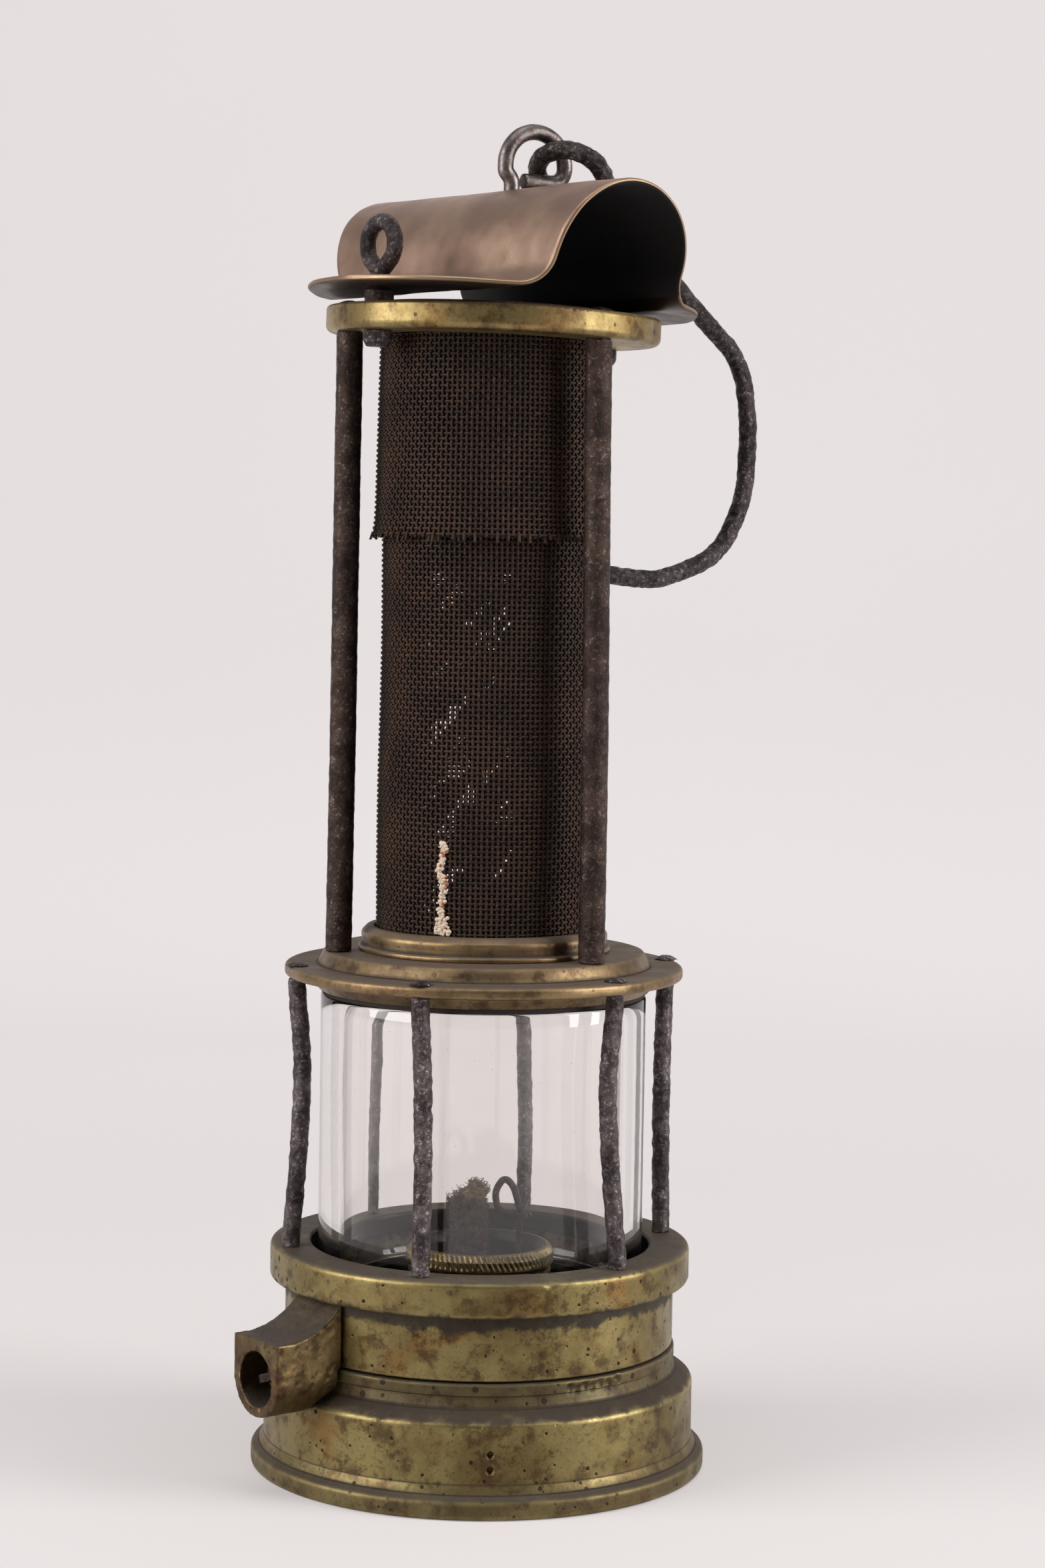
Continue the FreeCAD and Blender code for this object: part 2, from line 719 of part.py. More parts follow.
def flange_trim(foot):
    """Half moons of the oval blank beyond the bend, one on each side."""
    shift = math.pi / 2 * (arch_radius + arch_bend) - foot
    moons = []
    for sign in (-1, 1):
        oval = Part.Ellipse(Vector(0, 0, -hood_sheet), hood_spread, hood_length)
        edge = oval.toShape()
        edge.rotate(Vector(0, 0, 0), Z, 90)
        moon = Part.Face(Part.Wire(edge)).extrude(Vector(0, 0, 2 * hood_sheet))
        moon.translate(Vector(0, -sign * shift, 0))
        width = 2 * hood_spread
        side = Vector(-width / 2, foot if sign > 0 else -foot - width, -width / 2)
        moons.append(moon.common(Part.makeBox(width, width, width, side)))
    return moons[0].fuse(moons[1])


def hood_holes():
    """Ways for the two eyebolts and for the stem of the hanging eye."""
    holes = []
    through_flange = hood_lift + arch_bend
    for side in (0, 180):
        foot = polar(fixing_circle, fixing_angle + side, top_surface)
        holes.append(in_top_frame(Part.makeCylinder(eyebolt_radius + running_fit, through_flange, foot)))
    through_ridge = 4 * hood_sheet
    stem = Vector(eye_x, eye_y, ridge_z - through_ridge)
    holes.append(Part.makeCylinder(eye_wire + running_fit, 2 * through_ridge, stem))
    return holes


def across_hood(point):
    """Distance of a point from the vertical plane through the ridge, positive at the back."""
    across = (point.x - hood_x) * math.sin(math.radians(hood_turn))
    return across + (point.y - hood_y) * math.cos(math.radians(hood_turn))


def flange_underside(side):
    """Height of the hood's underside above the leaning top plate at an eyebolt."""
    at = polar(fixing_circle, fixing_angle + side)
    sheet = hood_lift - hood_sheet / 2 - across_hood(at) * math.tan(math.radians(hood_tilt))
    return sheet + at.x * math.tan(math.radians(top_lean))


def spacer(side):
    """Iron washer between the top plate and a flange of the hood."""
    height = flange_underside(side) - 0.2
    foot = polar(fixing_circle, fixing_angle + side, top_surface)
    body = Part.makeCylinder(spacer_radius, height, foot)
    return in_top_frame(body.cut(Part.makeCylinder(eyebolt_radius + running_fit, height, foot)))


def eyebolt(side):
    """Teardrop loop of iron rod with a stem through hood and plate, riveted over underneath."""
    base = top_surface + flange_underside(side) + hood_sheet
    loop_z = base + eyebolt_rise - eyebolt_radius - eyebolt_loop
    lean = math.asin(eyebolt_loop / eyebolt_neck)
    meet = Vector(0, 0, loop_z - eyebolt_neck)
    left = Vector(-eyebolt_loop * math.cos(lean), 0, loop_z - eyebolt_loop * math.sin(lean))
    right = Vector(-left.x, 0, left.z)
    bow = Part.Wire(Part.Arc(left, Vector(0, 0, loop_z + eyebolt_loop), right).toShape())
    legs = [Part.makeCylinder(eyebolt_radius, (meet - end).Length, end, meet - end) for end in (left, right)]
    rivet_z = top_underside - fixing_rivet_height
    stem = Part.makeCylinder(eyebolt_radius, meet.z - rivet_z, Vector(0, 0, rivet_z))
    seat = Part.makeCylinder(eyebolt_radius + 1.1, 0.9, Vector(0, 0, base + 0.15))
    rivet = turned([
        (0, rivet_z), (fixing_rivet_radius - 0.7, rivet_z, 0.5), (fixing_rivet_radius, rivet_z + 1.2, 0.4),
        (fixing_rivet_radius, top_underside), (0, top_underside),
    ])
    bolt = swept(bow, eyebolt_radius).fuse(legs + [stem, seat, rivet]).removeSplitter()
    bolt.rotate(ORIGIN, Z, -hood_turn)
    bolt.translate(polar(fixing_circle, fixing_angle + side))
    return in_top_frame(bolt)


# ---------------------------------------------------------------- hanging eye and hook
def eye_point(across, z):
    """Point in the upright plane of the hanging eye."""
    return Vector(eye_x, eye_y, z) + polar(across, eye_turn)


def hanging_eye():
    """Wire bent to a D-shaped open eye; its stem swivels in the hood and is headed inside."""
    centre = eye_loop - eye_back
    washer_low = eye_washer_z()
    head_z = washer_low - swivel_play - eye_head_height
    bottom = eye_centre_z - eye_corner
    right = centre + eye_loop
    corner = right - eye_corner
    lean = [eye_point(0, head_z + 0.3), eye_point(0, bottom + 0.2), eye_point(-eye_back, eye_centre_z - 1.2)]
    lean.append(eye_point(-eye_back, eye_centre_z))
    top = Part.Arc(eye_point(-eye_back, eye_centre_z), eye_point(centre, eye_centre_z + eye_loop),
                   eye_point(right, eye_centre_z)).toShape()
    bend = eye_corner * math.sqrt(0.5)
    turn = Part.Arc(eye_point(right, eye_centre_z), eye_point(corner + bend, eye_centre_z - bend),
                    eye_point(corner, bottom)).toShape()
    end = Part.LineSegment(eye_point(corner, bottom), eye_point(eye_end, bottom)).toShape()
    wire = swept(Part.Wire(bent_path(lean).Edges + [top, turn, end]), eye_wire)
    head = Part.makeCylinder(eye_head_radius, eye_head_height, Vector(eye_x, eye_y, head_z))
    return wire.fuse(head).removeSplitter()


def eye_washer_z():
    """Underside of the washer inside the hood, whose edge touches the arch on both sides."""
    inside = arch_radius - hood_sheet / 2
    edge = eye_washer_radius + abs(across_hood(Vector(eye_x, eye_y, 0)))
    sag = inside - math.sqrt(inside ** 2 - edge ** 2)
    tilt = eye_washer_radius * math.tan(math.radians(hood_tilt))
    return ridge_z - hood_sheet / 2 - sag - tilt - eye_washer_thickness


def eye_washer():
    low = eye_washer_z()
    foot = Vector(eye_x, eye_y, low)
    body = Part.makeCylinder(eye_washer_radius, eye_washer_thickness, foot)
    return body.cut(Part.makeCylinder(eye_wire + running_fit, eye_washer_thickness, foot))


def hook_point(reach, z):
    """Point in the upright plane of the hook, a distance out from the axis."""
    return polar(reach, hook_turn, z) + polar(hook_offset, hook_turn - 90)


def hook_eye_axes():
    """Level and rising directions of the hook's own eye."""
    turn = math.radians(hook_eye_turn)
    lean = math.radians(hook_eye_lean)
    level = Vector(math.cos(turn), math.sin(turn), 0)
    rising = Vector(-math.sin(turn) * math.sin(lean), math.cos(turn) * math.sin(lean), math.cos(lean))
    return level, rising


def hook():
    """Forged hook: a closed eye, a shank that reaches over the hood and an open bowl beside the gauze."""
    level, rising = hook_eye_axes()
    centre = Vector(eye_x, eye_y, eye_centre_z) + Vector(*hook_eye_offset)
    loop = Part.makeTorus(hook_eye_loop, hook_wire, centre, level.cross(rising))
    start = centre + level * hook_eye_loop
    shank = [start, start - rising * hook_shoulder]
    for reach, drop in hook_bends:
        shank.append(hook_point(reach, centre.z + drop))
    bar = rod(shank, hook_wire)
    along = (shank[-1] - shank[-2]).normalize()
    tip = Part.makeCone(hook_wire, hook_tip_radius, hook_tip_length, shank[-1], along)
    return loop.fuse([bar, tip]).removeSplitter()


# ---------------------------------------------------------------- side lock
def lock_barrel():
    """Barrel brazed to the collar: rounded below, square above, with a top that sweeps up to the flange."""
    half = lock_width / 2
    inside = collar_radius - 0.2
    low = lock_axis_z - half
    section = Part.makeCylinder(half, lock_reach - inside, Vector(inside, 0, lock_axis_z), Vector(1, 0, 0))
    corner = Vector(inside, -half, lock_axis_z)
    square = Part.makeBox(lock_reach - inside, lock_width, lock_top - lock_axis_z, corner)
    foot = Vector(inside, 0, flange_bottom)
    tip = Vector(lock_reach, 0, lock_top)
    sag = Vector((inside + lock_reach) / 2 + 0.6, 0, lock_top + 0.7)
    side = Part.Wire([
        Part.Arc(foot, sag, tip).toShape(),
        Part.LineSegment(tip, Vector(lock_reach, 0, lock_axis_z)).toShape(),
        Part.LineSegment(Vector(lock_reach, 0, lock_axis_z), Vector(inside, 0, lock_axis_z)).toShape(),
        Part.LineSegment(Vector(inside, 0, lock_axis_z), foot).toShape(),
    ])
    saddle = Part.Face(side)
    saddle.translate(Vector(0, -half, 0))
    body = section.fuse([square, saddle.extrude(Vector(0, lock_width, 0))]).removeSplitter()
    seat = Vector(lock_seat, 0, lock_axis_z)
    bore = Part.makeCylinder(lock_bore, lock_reach - lock_seat, seat, Vector(1, 0, 0))
    way = Part.makeCylinder(lock_screw + running_fit, lock_reach, Vector(0, 0, lock_axis_z), Vector(1, 0, 0))
    body = body.cut(bore).cut(way)
    collar = Part.makeCylinder(collar_radius, flange_bottom - collar_bottom, Vector(0, 0, collar_bottom))
    beside_drum = drum_radius + vessel_clearance
    vessel = turned([
        (0, low - 2), (beside_drum, low - 2), (beside_drum, drum_top + 0.8),
        (drum_radius - 0.6, drum_top + 1.9), (band_radius + vessel_clearance, drum_top + 3.6),
        (band_radius + vessel_clearance, collar_bottom), (0, collar_bottom),
    ])
    body = body.cut(collar).cut(vessel)
    body.rotate(ORIGIN, Z, lock_angle)
    return body


def lock_bolt():
    """Screwed iron bolt in the barrel, drawn back clear of the vessel, with a flat tang that a key turns."""
    nose = drum_radius + vessel_clearance
    length = lock_seat + 1.5 - nose
    body = Part.makeCylinder(lock_screw, length, Vector(nose, 0, lock_axis_z), Vector(1, 0, 0))
    start = lock_seat + 1.0
    end = lock_reach - tang_mouth
    half = tang_width / 2
    blade = Part.Wire(Part.makePolygon([
        Vector(start, -half, 0), Vector(end - 1.0, -half, 0), Vector(end, 0, 0), Vector(end - 1.0, half, 0),
        Vector(start, half, 0), Vector(start, -half, 0),
    ]))
    tang = Part.Face(blade).extrude(Vector(0, 0, tang_thickness))
    tang.translate(Vector(0, 0, lock_axis_z - tang_thickness / 2))
    bolt = body.fuse(tang).removeSplitter()
    bolt.rotate(Vector(0, 0, lock_axis_z), Vector(1, 0, 0), 20)
    bolt.rotate(ORIGIN, Z, lock_angle)
    return bolt


# ---------------------------------------------------------------- write every piece
def pieces():
    found = {
        "oil_vessel": oil_vessel(),
        "vessel_bottom": vessel_bottom(),
        "burner_socket": burner_socket(),
        "burner_plate": burner_plate(),
        "wick_tube": wick_tube(),
        "wick": wick(),
        "burner_ring": burner_ring(),
        "pricker_tube": pricker_tube(),
        "pricker": pricker(),
        "vessel_washer": vessel_washer(),
        "lower_ring": lower_ring(),
        "lock_barrel": lock_barrel(),
        "lock_bolt": lock_bolt(),
        "glass_ring": glass_ring(),
        "lower_gasket": gasket(gasket_z),
        "glass_cylinder": glass_cylinder(),
        "upper_gasket": gasket(glass_top),
        "glass_seat": glass_seat(),
        "middle_plate": middle_plate(),
        "gauze_collar": gauze_collar(),
        "main_gauze": main_gauze(),
        "outer_gauze": outer_gauze(),
        "gauze_crown": gauze_crown(),
        "top_plate": top_plate(),
        "hood": hood(),
        "near_spacer": spacer(180),
        "far_spacer": spacer(0),
        "near_eyebolt": eyebolt(180),
        "far_eyebolt": eyebolt(0),
        "hanging_eye": hanging_eye(),
        "eye_washer": eye_washer(),
        "hook": hook(),
    }
    for i in range(pillar_count):
        found["guard_pillar_%d" % (i + 1)] = guard_pillar(i)
    for i in range(post_count):
        found["upper_post_%d" % (i + 1)] = upper_post(i)
    return found


os.makedirs("parts", exist_ok=True)
for name, shape in pieces().items():
    solids = shape.Solids
    whole = solids[0] if len(solids) == 1 else Part.makeCompound(solids)
    whole.exportStep("parts/%s.step" % name)
    print("%-16s solids %d valid %s volume %.1f" % (name, len(solids), whole.isValid(), whole.Volume))
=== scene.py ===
"""Looks for the miner's flame safety lamp: worn brass, forged iron, woven gauze, glass and wick.

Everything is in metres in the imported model's own frame; sizes below are millimetres times MM.
"""
import math
import random

import bmesh
import bpy
from mathutils import Matrix, Vector, noise


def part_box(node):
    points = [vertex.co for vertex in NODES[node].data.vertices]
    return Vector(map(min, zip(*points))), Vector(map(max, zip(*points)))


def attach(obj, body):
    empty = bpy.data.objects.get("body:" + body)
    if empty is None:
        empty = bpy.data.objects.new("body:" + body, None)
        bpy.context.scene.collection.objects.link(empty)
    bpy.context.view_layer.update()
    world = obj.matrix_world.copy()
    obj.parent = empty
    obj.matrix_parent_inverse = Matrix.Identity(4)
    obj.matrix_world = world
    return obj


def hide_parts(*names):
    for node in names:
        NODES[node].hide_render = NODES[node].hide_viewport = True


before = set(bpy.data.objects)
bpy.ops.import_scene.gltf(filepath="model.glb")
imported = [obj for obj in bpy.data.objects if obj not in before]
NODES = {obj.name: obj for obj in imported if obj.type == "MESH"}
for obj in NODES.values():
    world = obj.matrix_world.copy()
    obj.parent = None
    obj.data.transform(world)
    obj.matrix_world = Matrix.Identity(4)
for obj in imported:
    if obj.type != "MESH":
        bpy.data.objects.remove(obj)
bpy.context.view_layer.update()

MM = 0.001
CAGE = "cage"
VESSEL = "vessel"


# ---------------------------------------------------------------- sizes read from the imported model
def size_of(node):
    """(outer radius, low z, high z) in mm of a round node centred on the lamp's axis."""
    low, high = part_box(node)
    return high.x / MM, low.z / MM, high.z / MM


FOOT_RADIUS, _, DECK_Z = size_of("oil_vessel")
FLANGE_RADIUS, COLLAR_BOTTOM, FLANGE_TOP = size_of("lower_ring")
MIDDLE_RADIUS, MIDDLE_Z, STEP_Z = size_of("middle_plate")
GLASS_RADIUS, GLASS_Z, GLASS_TOP = size_of("glass_cylinder")
COLLAR_RADIUS, _, GAUZE_COLLAR_TOP = size_of("gauze_collar")
HEAD_RADIUS, BURNER_LOW, HEAD_TOP = size_of("burner_ring")
TOP_UNDERSIDE = 216.6     # of the top plate, on the lamp's axis
TOP_SURFACE = 221.6
GAUZE_WIRE = 0.32         # radius of the wire in both gauzes
HOOD_CENTRE = Vector((2.1, 0.6, TOP_SURFACE + 2.3))
HOOD_TURN = math.radians(50.0)
HOOD_TILT = math.radians(2.9)


# ---------------------------------------------------------------- mesh helpers
def new_piece(name, verts, faces, material, smooth=True):
    """Mesh object from vertex and face lists (metres)."""
    mesh = bpy.data.meshes.new(name)
    mesh.from_pydata([tuple(v) for v in verts], [], faces)
    mesh.validate()
    mesh.update()
    piece = bpy.data.objects.new(name, mesh)
    bpy.context.scene.collection.objects.link(piece)
    for one in material if isinstance(material, list) else [material]:
        mesh.materials.append(one)
    mesh.polygons.foreach_set("use_smooth", [smooth] * len(mesh.polygons))
    return piece


def rounded(corners, step=1.0, arc_step=0.25):
    """Closed outline of (r, z[, corner radius]) in mm, as points with how convex each one is."""
    count = len(corners)
    points = []
    for i in range(count):
        here = Vector(corners[i][:2])
        back = (Vector(corners[i - 1][:2]) - here).normalized()
        ahead = (Vector(corners[(i + 1) % count][:2]) - here).normalized()
        radius = corners[i][2] if len(corners[i]) > 2 else 0.05
        turn = back.x * ahead.y - back.y * ahead.x
        convex = 1.0 if turn < -0.05 else (-1.0 if turn > 0.05 else 0.0)
        half = back.angle(ahead) / 2
        if half > math.radians(89):
            points.append((here, 0.0))
            continue
        reach = radius / math.tan(half)
        centre = here + (back + ahead).normalized() * (radius / math.sin(half))
        start = here + back * reach
        end = here + ahead * reach
        spread = math.pi - 2 * half
        pieces = max(2, int(radius * spread / arc_step))
        first = start - centre
        last = end - centre
        for k in range(pieces + 1):
            share = k / pieces
            arm = first.normalized().slerp(last.normalized(), share) * radius
            points.append((centre + arm, convex * math.sin(math.pi * (0.15 + 0.7 * share))))
    filled = []
    for i, (here, edge) in enumerate(points):
        after, after_edge = points[(i + 1) % len(points)]
        runs = max(1, int((after - here).length / step))
        for k in range(runs):
            share = k / runs
            filled.append((here.lerp(after, share), edge if k == 0 else 0.0))
    return filled


def lathe(name, corners, material, segments=256, step=1.0, change=None):
    """Turned piece with an "edge" attribute on its convex corners; change(angle, r, z) adds to the radius."""
    outline = rounded(corners, step)
    count = len(outline)
    verts = []
    for k in range(segments):
        angle = 2 * math.pi * k / segments
        for point, _ in outline:
            r, z = point.x, point.y
            if change:
                r = r + change(angle, r, z)
            verts.append((r * MM * math.cos(angle), r * MM * math.sin(angle), z * MM))
    faces = []
    for k in range(segments):
        here = k * count
        there = ((k + 1) % segments) * count
        for i in range(count):
            after = (i + 1) % count
            faces.append((here + i, there + i, there + after, here + after))
    piece = new_piece(name, verts, faces, material)
    bm = bmesh.new()
    bm.from_mesh(piece.data)
    bmesh.ops.recalc_face_normals(bm, faces=bm.faces)
    bm.to_mesh(piece.data)
    bm.free()
    edge = piece.data.attributes.new("edge", "FLOAT", "POINT")
    edge.data.foreach_set("value", [e for _, e in outline] * segments)
    return piece


def fractal(point, size, octaves=3):
    """Noise of about -1 to 1 whose largest feature is about size (mm) across; point in mm."""
    return noise.fractal(point / size, 1.0, 2.0, octaves, noise_basis="PERLIN_ORIGINAL")


def copy_of(name, node):
    """Own copy of a CAD node's mesh."""
    mesh = NODES[node].data.copy()
    mesh.name = name
    piece = bpy.data.objects.new(name, mesh)
    bpy.context.scene.collection.objects.link(piece)
    mesh.materials.clear()
    return piece


def apply_modifiers(piece):
    graph = bpy.context.evaluated_depsgraph_get()
    mesh = bpy.data.meshes.new_from_object(piece.evaluated_get(graph))
    piece.modifiers.clear()
    old = piece.data
    piece.data = mesh
    bpy.data.meshes.remove(old)


def worn(node, body, material, voxel=0.4, erosion=0.25, feature=2.5, pits=0.0, smooth=2, seed=0.0):
    """Evenly meshed copy of a rigid node, eaten away a little everywhere as forged or rusted metal is."""
    piece = copy_of(node + "_worn", node)
    remesh = piece.modifiers.new("even", "REMESH")
    remesh.mode = "VOXEL"
    remesh.voxel_size = voxel * MM
    remesh.use_smooth_shade = True
    if smooth:
        soften = piece.modifiers.new("soften", "SMOOTH")
        soften.iterations = smooth
        soften.factor = 0.5
    apply_modifiers(piece)
    mesh = piece.data
    offset = Vector((seed, seed * 1.7, seed * 0.6))
    moved = []
    for v in mesh.vertices:
        place = v.co / MM + offset
        depth = erosion * (0.5 + 0.5 * fractal(place, feature))
        if pits:
            cell = noise.voronoi(place / 2.0, distance_metric="DISTANCE")[0][0]
            depth += pits * max(0.0, 0.5 - cell) / 0.5
        moved.append(v.co - v.normal * depth * MM)
    for v, place in zip(mesh.vertices, moved):
        v.co = place
    mesh.materials.append(material)
    mesh.polygons.foreach_set("use_smooth", [True] * len(mesh.polygons))
    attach(piece, body)
    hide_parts(node)
    return piece


def dress(material, *nodes):
    """Puts a material on CAD nodes whose shape stays."""
    for name in nodes:
        data = NODES[name].data
        data.materials.clear()
        data.materials.append(material)


# ---------------------------------------------------------------- shader helpers
def srgb(red, green, blue):
    """Linear colour from 0-255 display values."""
    out = []
    for part in (red, green, blue):
        share = part / 255
        out.append(share / 12.92 if share <= 0.04045 else ((share + 0.055) / 1.055) ** 2.4)
    return (*out, 1.0)


class Recipe:
    """A node material, with one short method for each kind of node used here."""

    def __init__(self, name):
        self.material = bpy.data.materials.new(name)
        self.material.use_nodes = True
        self.tree = self.material.node_tree
        self.tree.nodes.clear()
        self.output = self.tree.nodes.new("ShaderNodeOutputMaterial")
        coordinates = self.tree.nodes.new("ShaderNodeTexCoord").outputs["Object"]
        scaled = self.tree.nodes.new("ShaderNodeVectorMath")
        scaled.operation = "SCALE"
        scaled.inputs["Scale"].default_value = 1 / MM
        self.tree.links.new(coordinates, scaled.inputs[0])
        self.place = scaled.outputs[0]

    def put(self, socket, value):
        if isinstance(value, bpy.types.NodeSocket):
            self.tree.links.new(value, socket)
        else:
            socket.default_value = value

    def stretched(self, x, y, z):
        node = self.tree.nodes.new("ShaderNodeVectorMath")
        node.operation = "MULTIPLY"
        self.put(node.inputs[0], self.place)
        node.inputs[1].default_value = (x, y, z)
        return node.outputs[0]

    def noise(self, size, detail=3.0, roughness=0.55, place=None, distortion=0.0):
        """Noise whose features are about size mm across."""
        node = self.tree.nodes.new("ShaderNodeTexNoise")
        self.put(node.inputs["Vector"], place or self.place)
        node.inputs["Scale"].default_value = 1 / size
        node.inputs["Detail"].default_value = detail
        node.inputs["Roughness"].default_value = roughness
        node.inputs["Distortion"].default_value = distortion
        return node.outputs["Fac"]

    def cells(self, size, place=None):
        """(distance to the nearest cell point, a random number per cell)."""
        node = self.tree.nodes.new("ShaderNodeTexVoronoi")
        self.put(node.inputs["Vector"], place or self.place)
        node.inputs["Scale"].default_value = 1 / size
        split = self.tree.nodes.new("ShaderNodeSeparateColor")
        self.put(split.inputs[0], node.outputs["Color"])
        return node.outputs["Distance"], split.outputs[0]

    def range(self, value, low, high, to_low=0.0, to_high=1.0, smooth=True):
        node = self.tree.nodes.new("ShaderNodeMapRange")
        node.interpolation_type = "SMOOTHSTEP" if smooth else "LINEAR"
        self.put(node.inputs["Value"], value)
        self.put(node.inputs["From Min"], low)
        self.put(node.inputs["From Max"], high)
        node.inputs["To Min"].default_value = to_low
        node.inputs["To Max"].default_value = to_high
        return node.outputs["Result"]

    def math(self, operation, a, b=0.0):
        node = self.tree.nodes.new("ShaderNodeMath")
        node.operation = operation
        self.put(node.inputs[0], a)
        self.put(node.inputs[1], b)
        return node.outputs[0]

    def blend(self, share, a, b):
        """Colour a where share is 0, colour b where it is 1."""
        node = self.tree.nodes.new("ShaderNodeMix")
        node.data_type = "RGBA"
        self.put(node.inputs[0], share)
        self.put(node.inputs[6], a)
        self.put(node.inputs[7], b)
        return node.outputs[2]

    def spots(self, size, largest, smallest=0.004):
        """Round spots of mixed sizes, at most one in each cell of about size mm."""
        distance, chance = self.cells(size)
        radius = self.range(chance, 0.3, 1.0, smallest, largest, smooth=False)
        reach = self.math("DIVIDE", distance, radius)
        return self.range(reach, 0.7, 1.05, 1.0, 0.0)

    def normal_z(self):
        geometry = self.tree.nodes.new("ShaderNodeNewGeometry")
        split = self.tree.nodes.new("ShaderNodeSeparateXYZ")
        self.put(split.inputs[0], geometry.outputs["Normal"])
        return split.outputs[2]

    def pointiness(self):
        return self.tree.nodes.new("ShaderNodeNewGeometry").outputs["Pointiness"]

    def attribute(self, name):
        node = self.tree.nodes.new("ShaderNodeAttribute")
        node.attribute_name = name
        return node.outputs["Fac"]

    def axis(self, index):
        split = self.tree.nodes.new("ShaderNodeSeparateXYZ")
        self.put(split.inputs[0], self.place)
        return split.outputs[index]

    def bump(self, height, depth, normal=None):
        """Surface relief: height 1 stands depth mm above height 0."""
        node = self.tree.nodes.new("ShaderNodeBump")
        node.inputs["Distance"].default_value = depth * MM
        self.put(node.inputs["Height"], height)
        if normal:
            self.put(node.inputs["Normal"], normal)
        return node.outputs["Normal"]

    def surface(self, colour, roughness, metallic=0.0, normal=None, **constants):
        shader = self.tree.nodes.new("ShaderNodeBsdfPrincipled")
        self.put(shader.inputs["Base Color"], colour)
        self.put(shader.inputs["Roughness"], roughness)
        self.put(shader.inputs["Metallic"], metallic)
        if normal:
            self.put(shader.inputs["Normal"], normal)
        for name, value in constants.items():
            shader.inputs[name.replace("_", " ")].default_value = value
        self.put(self.output.inputs["Surface"], shader.outputs[0])
        return self.material


# ---------------------------------------------------------------- materials
def aged_brass(
    name, bright, dull, stain, dust,
    spot_share=0.5, edge_wear_and_highlight=0.5, shine=0.34, blotched=0.6, dusty=1.0, shade_bands=(),
):
    """Old lamp brass: rubbed gold on upright faces, brown tarnish and spots, dust on what faces up, worn
    edges painted lighter as rubbed metal and painted highlight, and painted shade in concave corners and
    bands.

    The last argument lists bands of painted shade as (low z, high z, share).
    """
    r = Recipe(name)
    cloud = r.noise(13, 4, 0.6)
    patch = r.noise(4.5, 5, 0.65)
    grain = r.noise(0.5, 4, 0.65)
    dark = tuple(c * 0.35 for c in stain[:3]) + (1.0,)
    colour = r.blend(r.range(cloud, 0.38, 0.62), bright, dull)
    warm = tuple(c * k for c, k in zip(dull[:3], (1.35, 1.0, 0.75))) + (1.0,)
    colour = r.blend(r.math("MULTIPLY", r.range(r.noise(9, 3, 0.6), 0.52, 0.68), 0.7), colour, warm)
    colour = r.blend(r.math("MULTIPLY", r.range(patch, 0.48, 0.66), 0.8), colour, stain)
    colour = r.blend(r.math("MULTIPLY", r.range(grain, 0.52, 0.7), 0.5), colour, stain)
    blotch = r.range(r.noise(5.5, 7, 0.78), 0.54, 0.63)
    colour = r.blend(r.math("MULTIPLY", blotch, blotched), colour, tuple(c * 0.7 for c in stain[:3]) + (1.0,))
    marks = r.math("MAXIMUM", r.spots(1.9, 0.24), r.spots(4.2, 0.17))
    marks = r.math("MULTIPLY", marks, spot_share)
    colour = r.blend(marks, colour, dark)
    # Convex edges and high spots painted lighter: rubbed metal and painted highlight.
    worn_edge_and_highlight = r.math("MAXIMUM", r.range(r.attribute("edge"), 0.1, 0.9), r.range(r.pointiness(), 0.53, 0.6))
    edge = r.math("MULTIPLY", r.math("MULTIPLY", worn_edge_and_highlight, r.range(patch, 0.3, 0.7, 1.0, 0.4)), edge_wear_and_highlight)
    colour = r.blend(edge, colour, tuple(min(1.0, c * 1.5) for c in bright[:3]) + (1.0,))
    upward = r.range(r.normal_z(), 0.35, 0.9, 0.0, dusty)
    film = r.math("MULTIPLY", upward, r.range(patch, 0.2, 0.6, 0.65, 1.0))
    colour = r.blend(film, colour, dust)
    # Painted shade: concave corners and the listed height bands are darkened towards the stain's darkest
    # tone.
    painted_shade = r.math("MULTIPLY", r.range(r.attribute("edge"), -0.1, -0.7), 0.85)
    ragged = r.math("ADD", r.axis(2), r.range(patch, 0.2, 0.8, -1.6, 1.6, smooth=False))
    for low, high, share in shade_bands:
        band = r.math("MULTIPLY", r.range(ragged, low, low + 1.2), r.range(ragged, high, high - 1.2))
        painted_shade = r.math("MAXIMUM", painted_shade, r.math("MULTIPLY", band, share))
    colour = r.blend(painted_shade, colour, dark)
    rough = r.range(cloud, 0.3, 0.7, shine, shine + 0.12)
    rough = r.math("ADD", rough, r.math("MULTIPLY", r.math("MAXIMUM", marks, painted_shade), 0.25))
    rough = r.math("ADD", rough, r.math("MULTIPLY", film, 0.3))
    metal = r.math("SUBTRACT", 0.88, r.math("MULTIPLY", r.math("MAXIMUM", film, painted_shade), 0.6))
    height = r.math("SUBTRACT", r.math("MULTIPLY", grain, 0.3), r.math("MULTIPLY", marks, 0.6))
    return r.surface(colour, rough, metal, r.bump(height, 0.1))


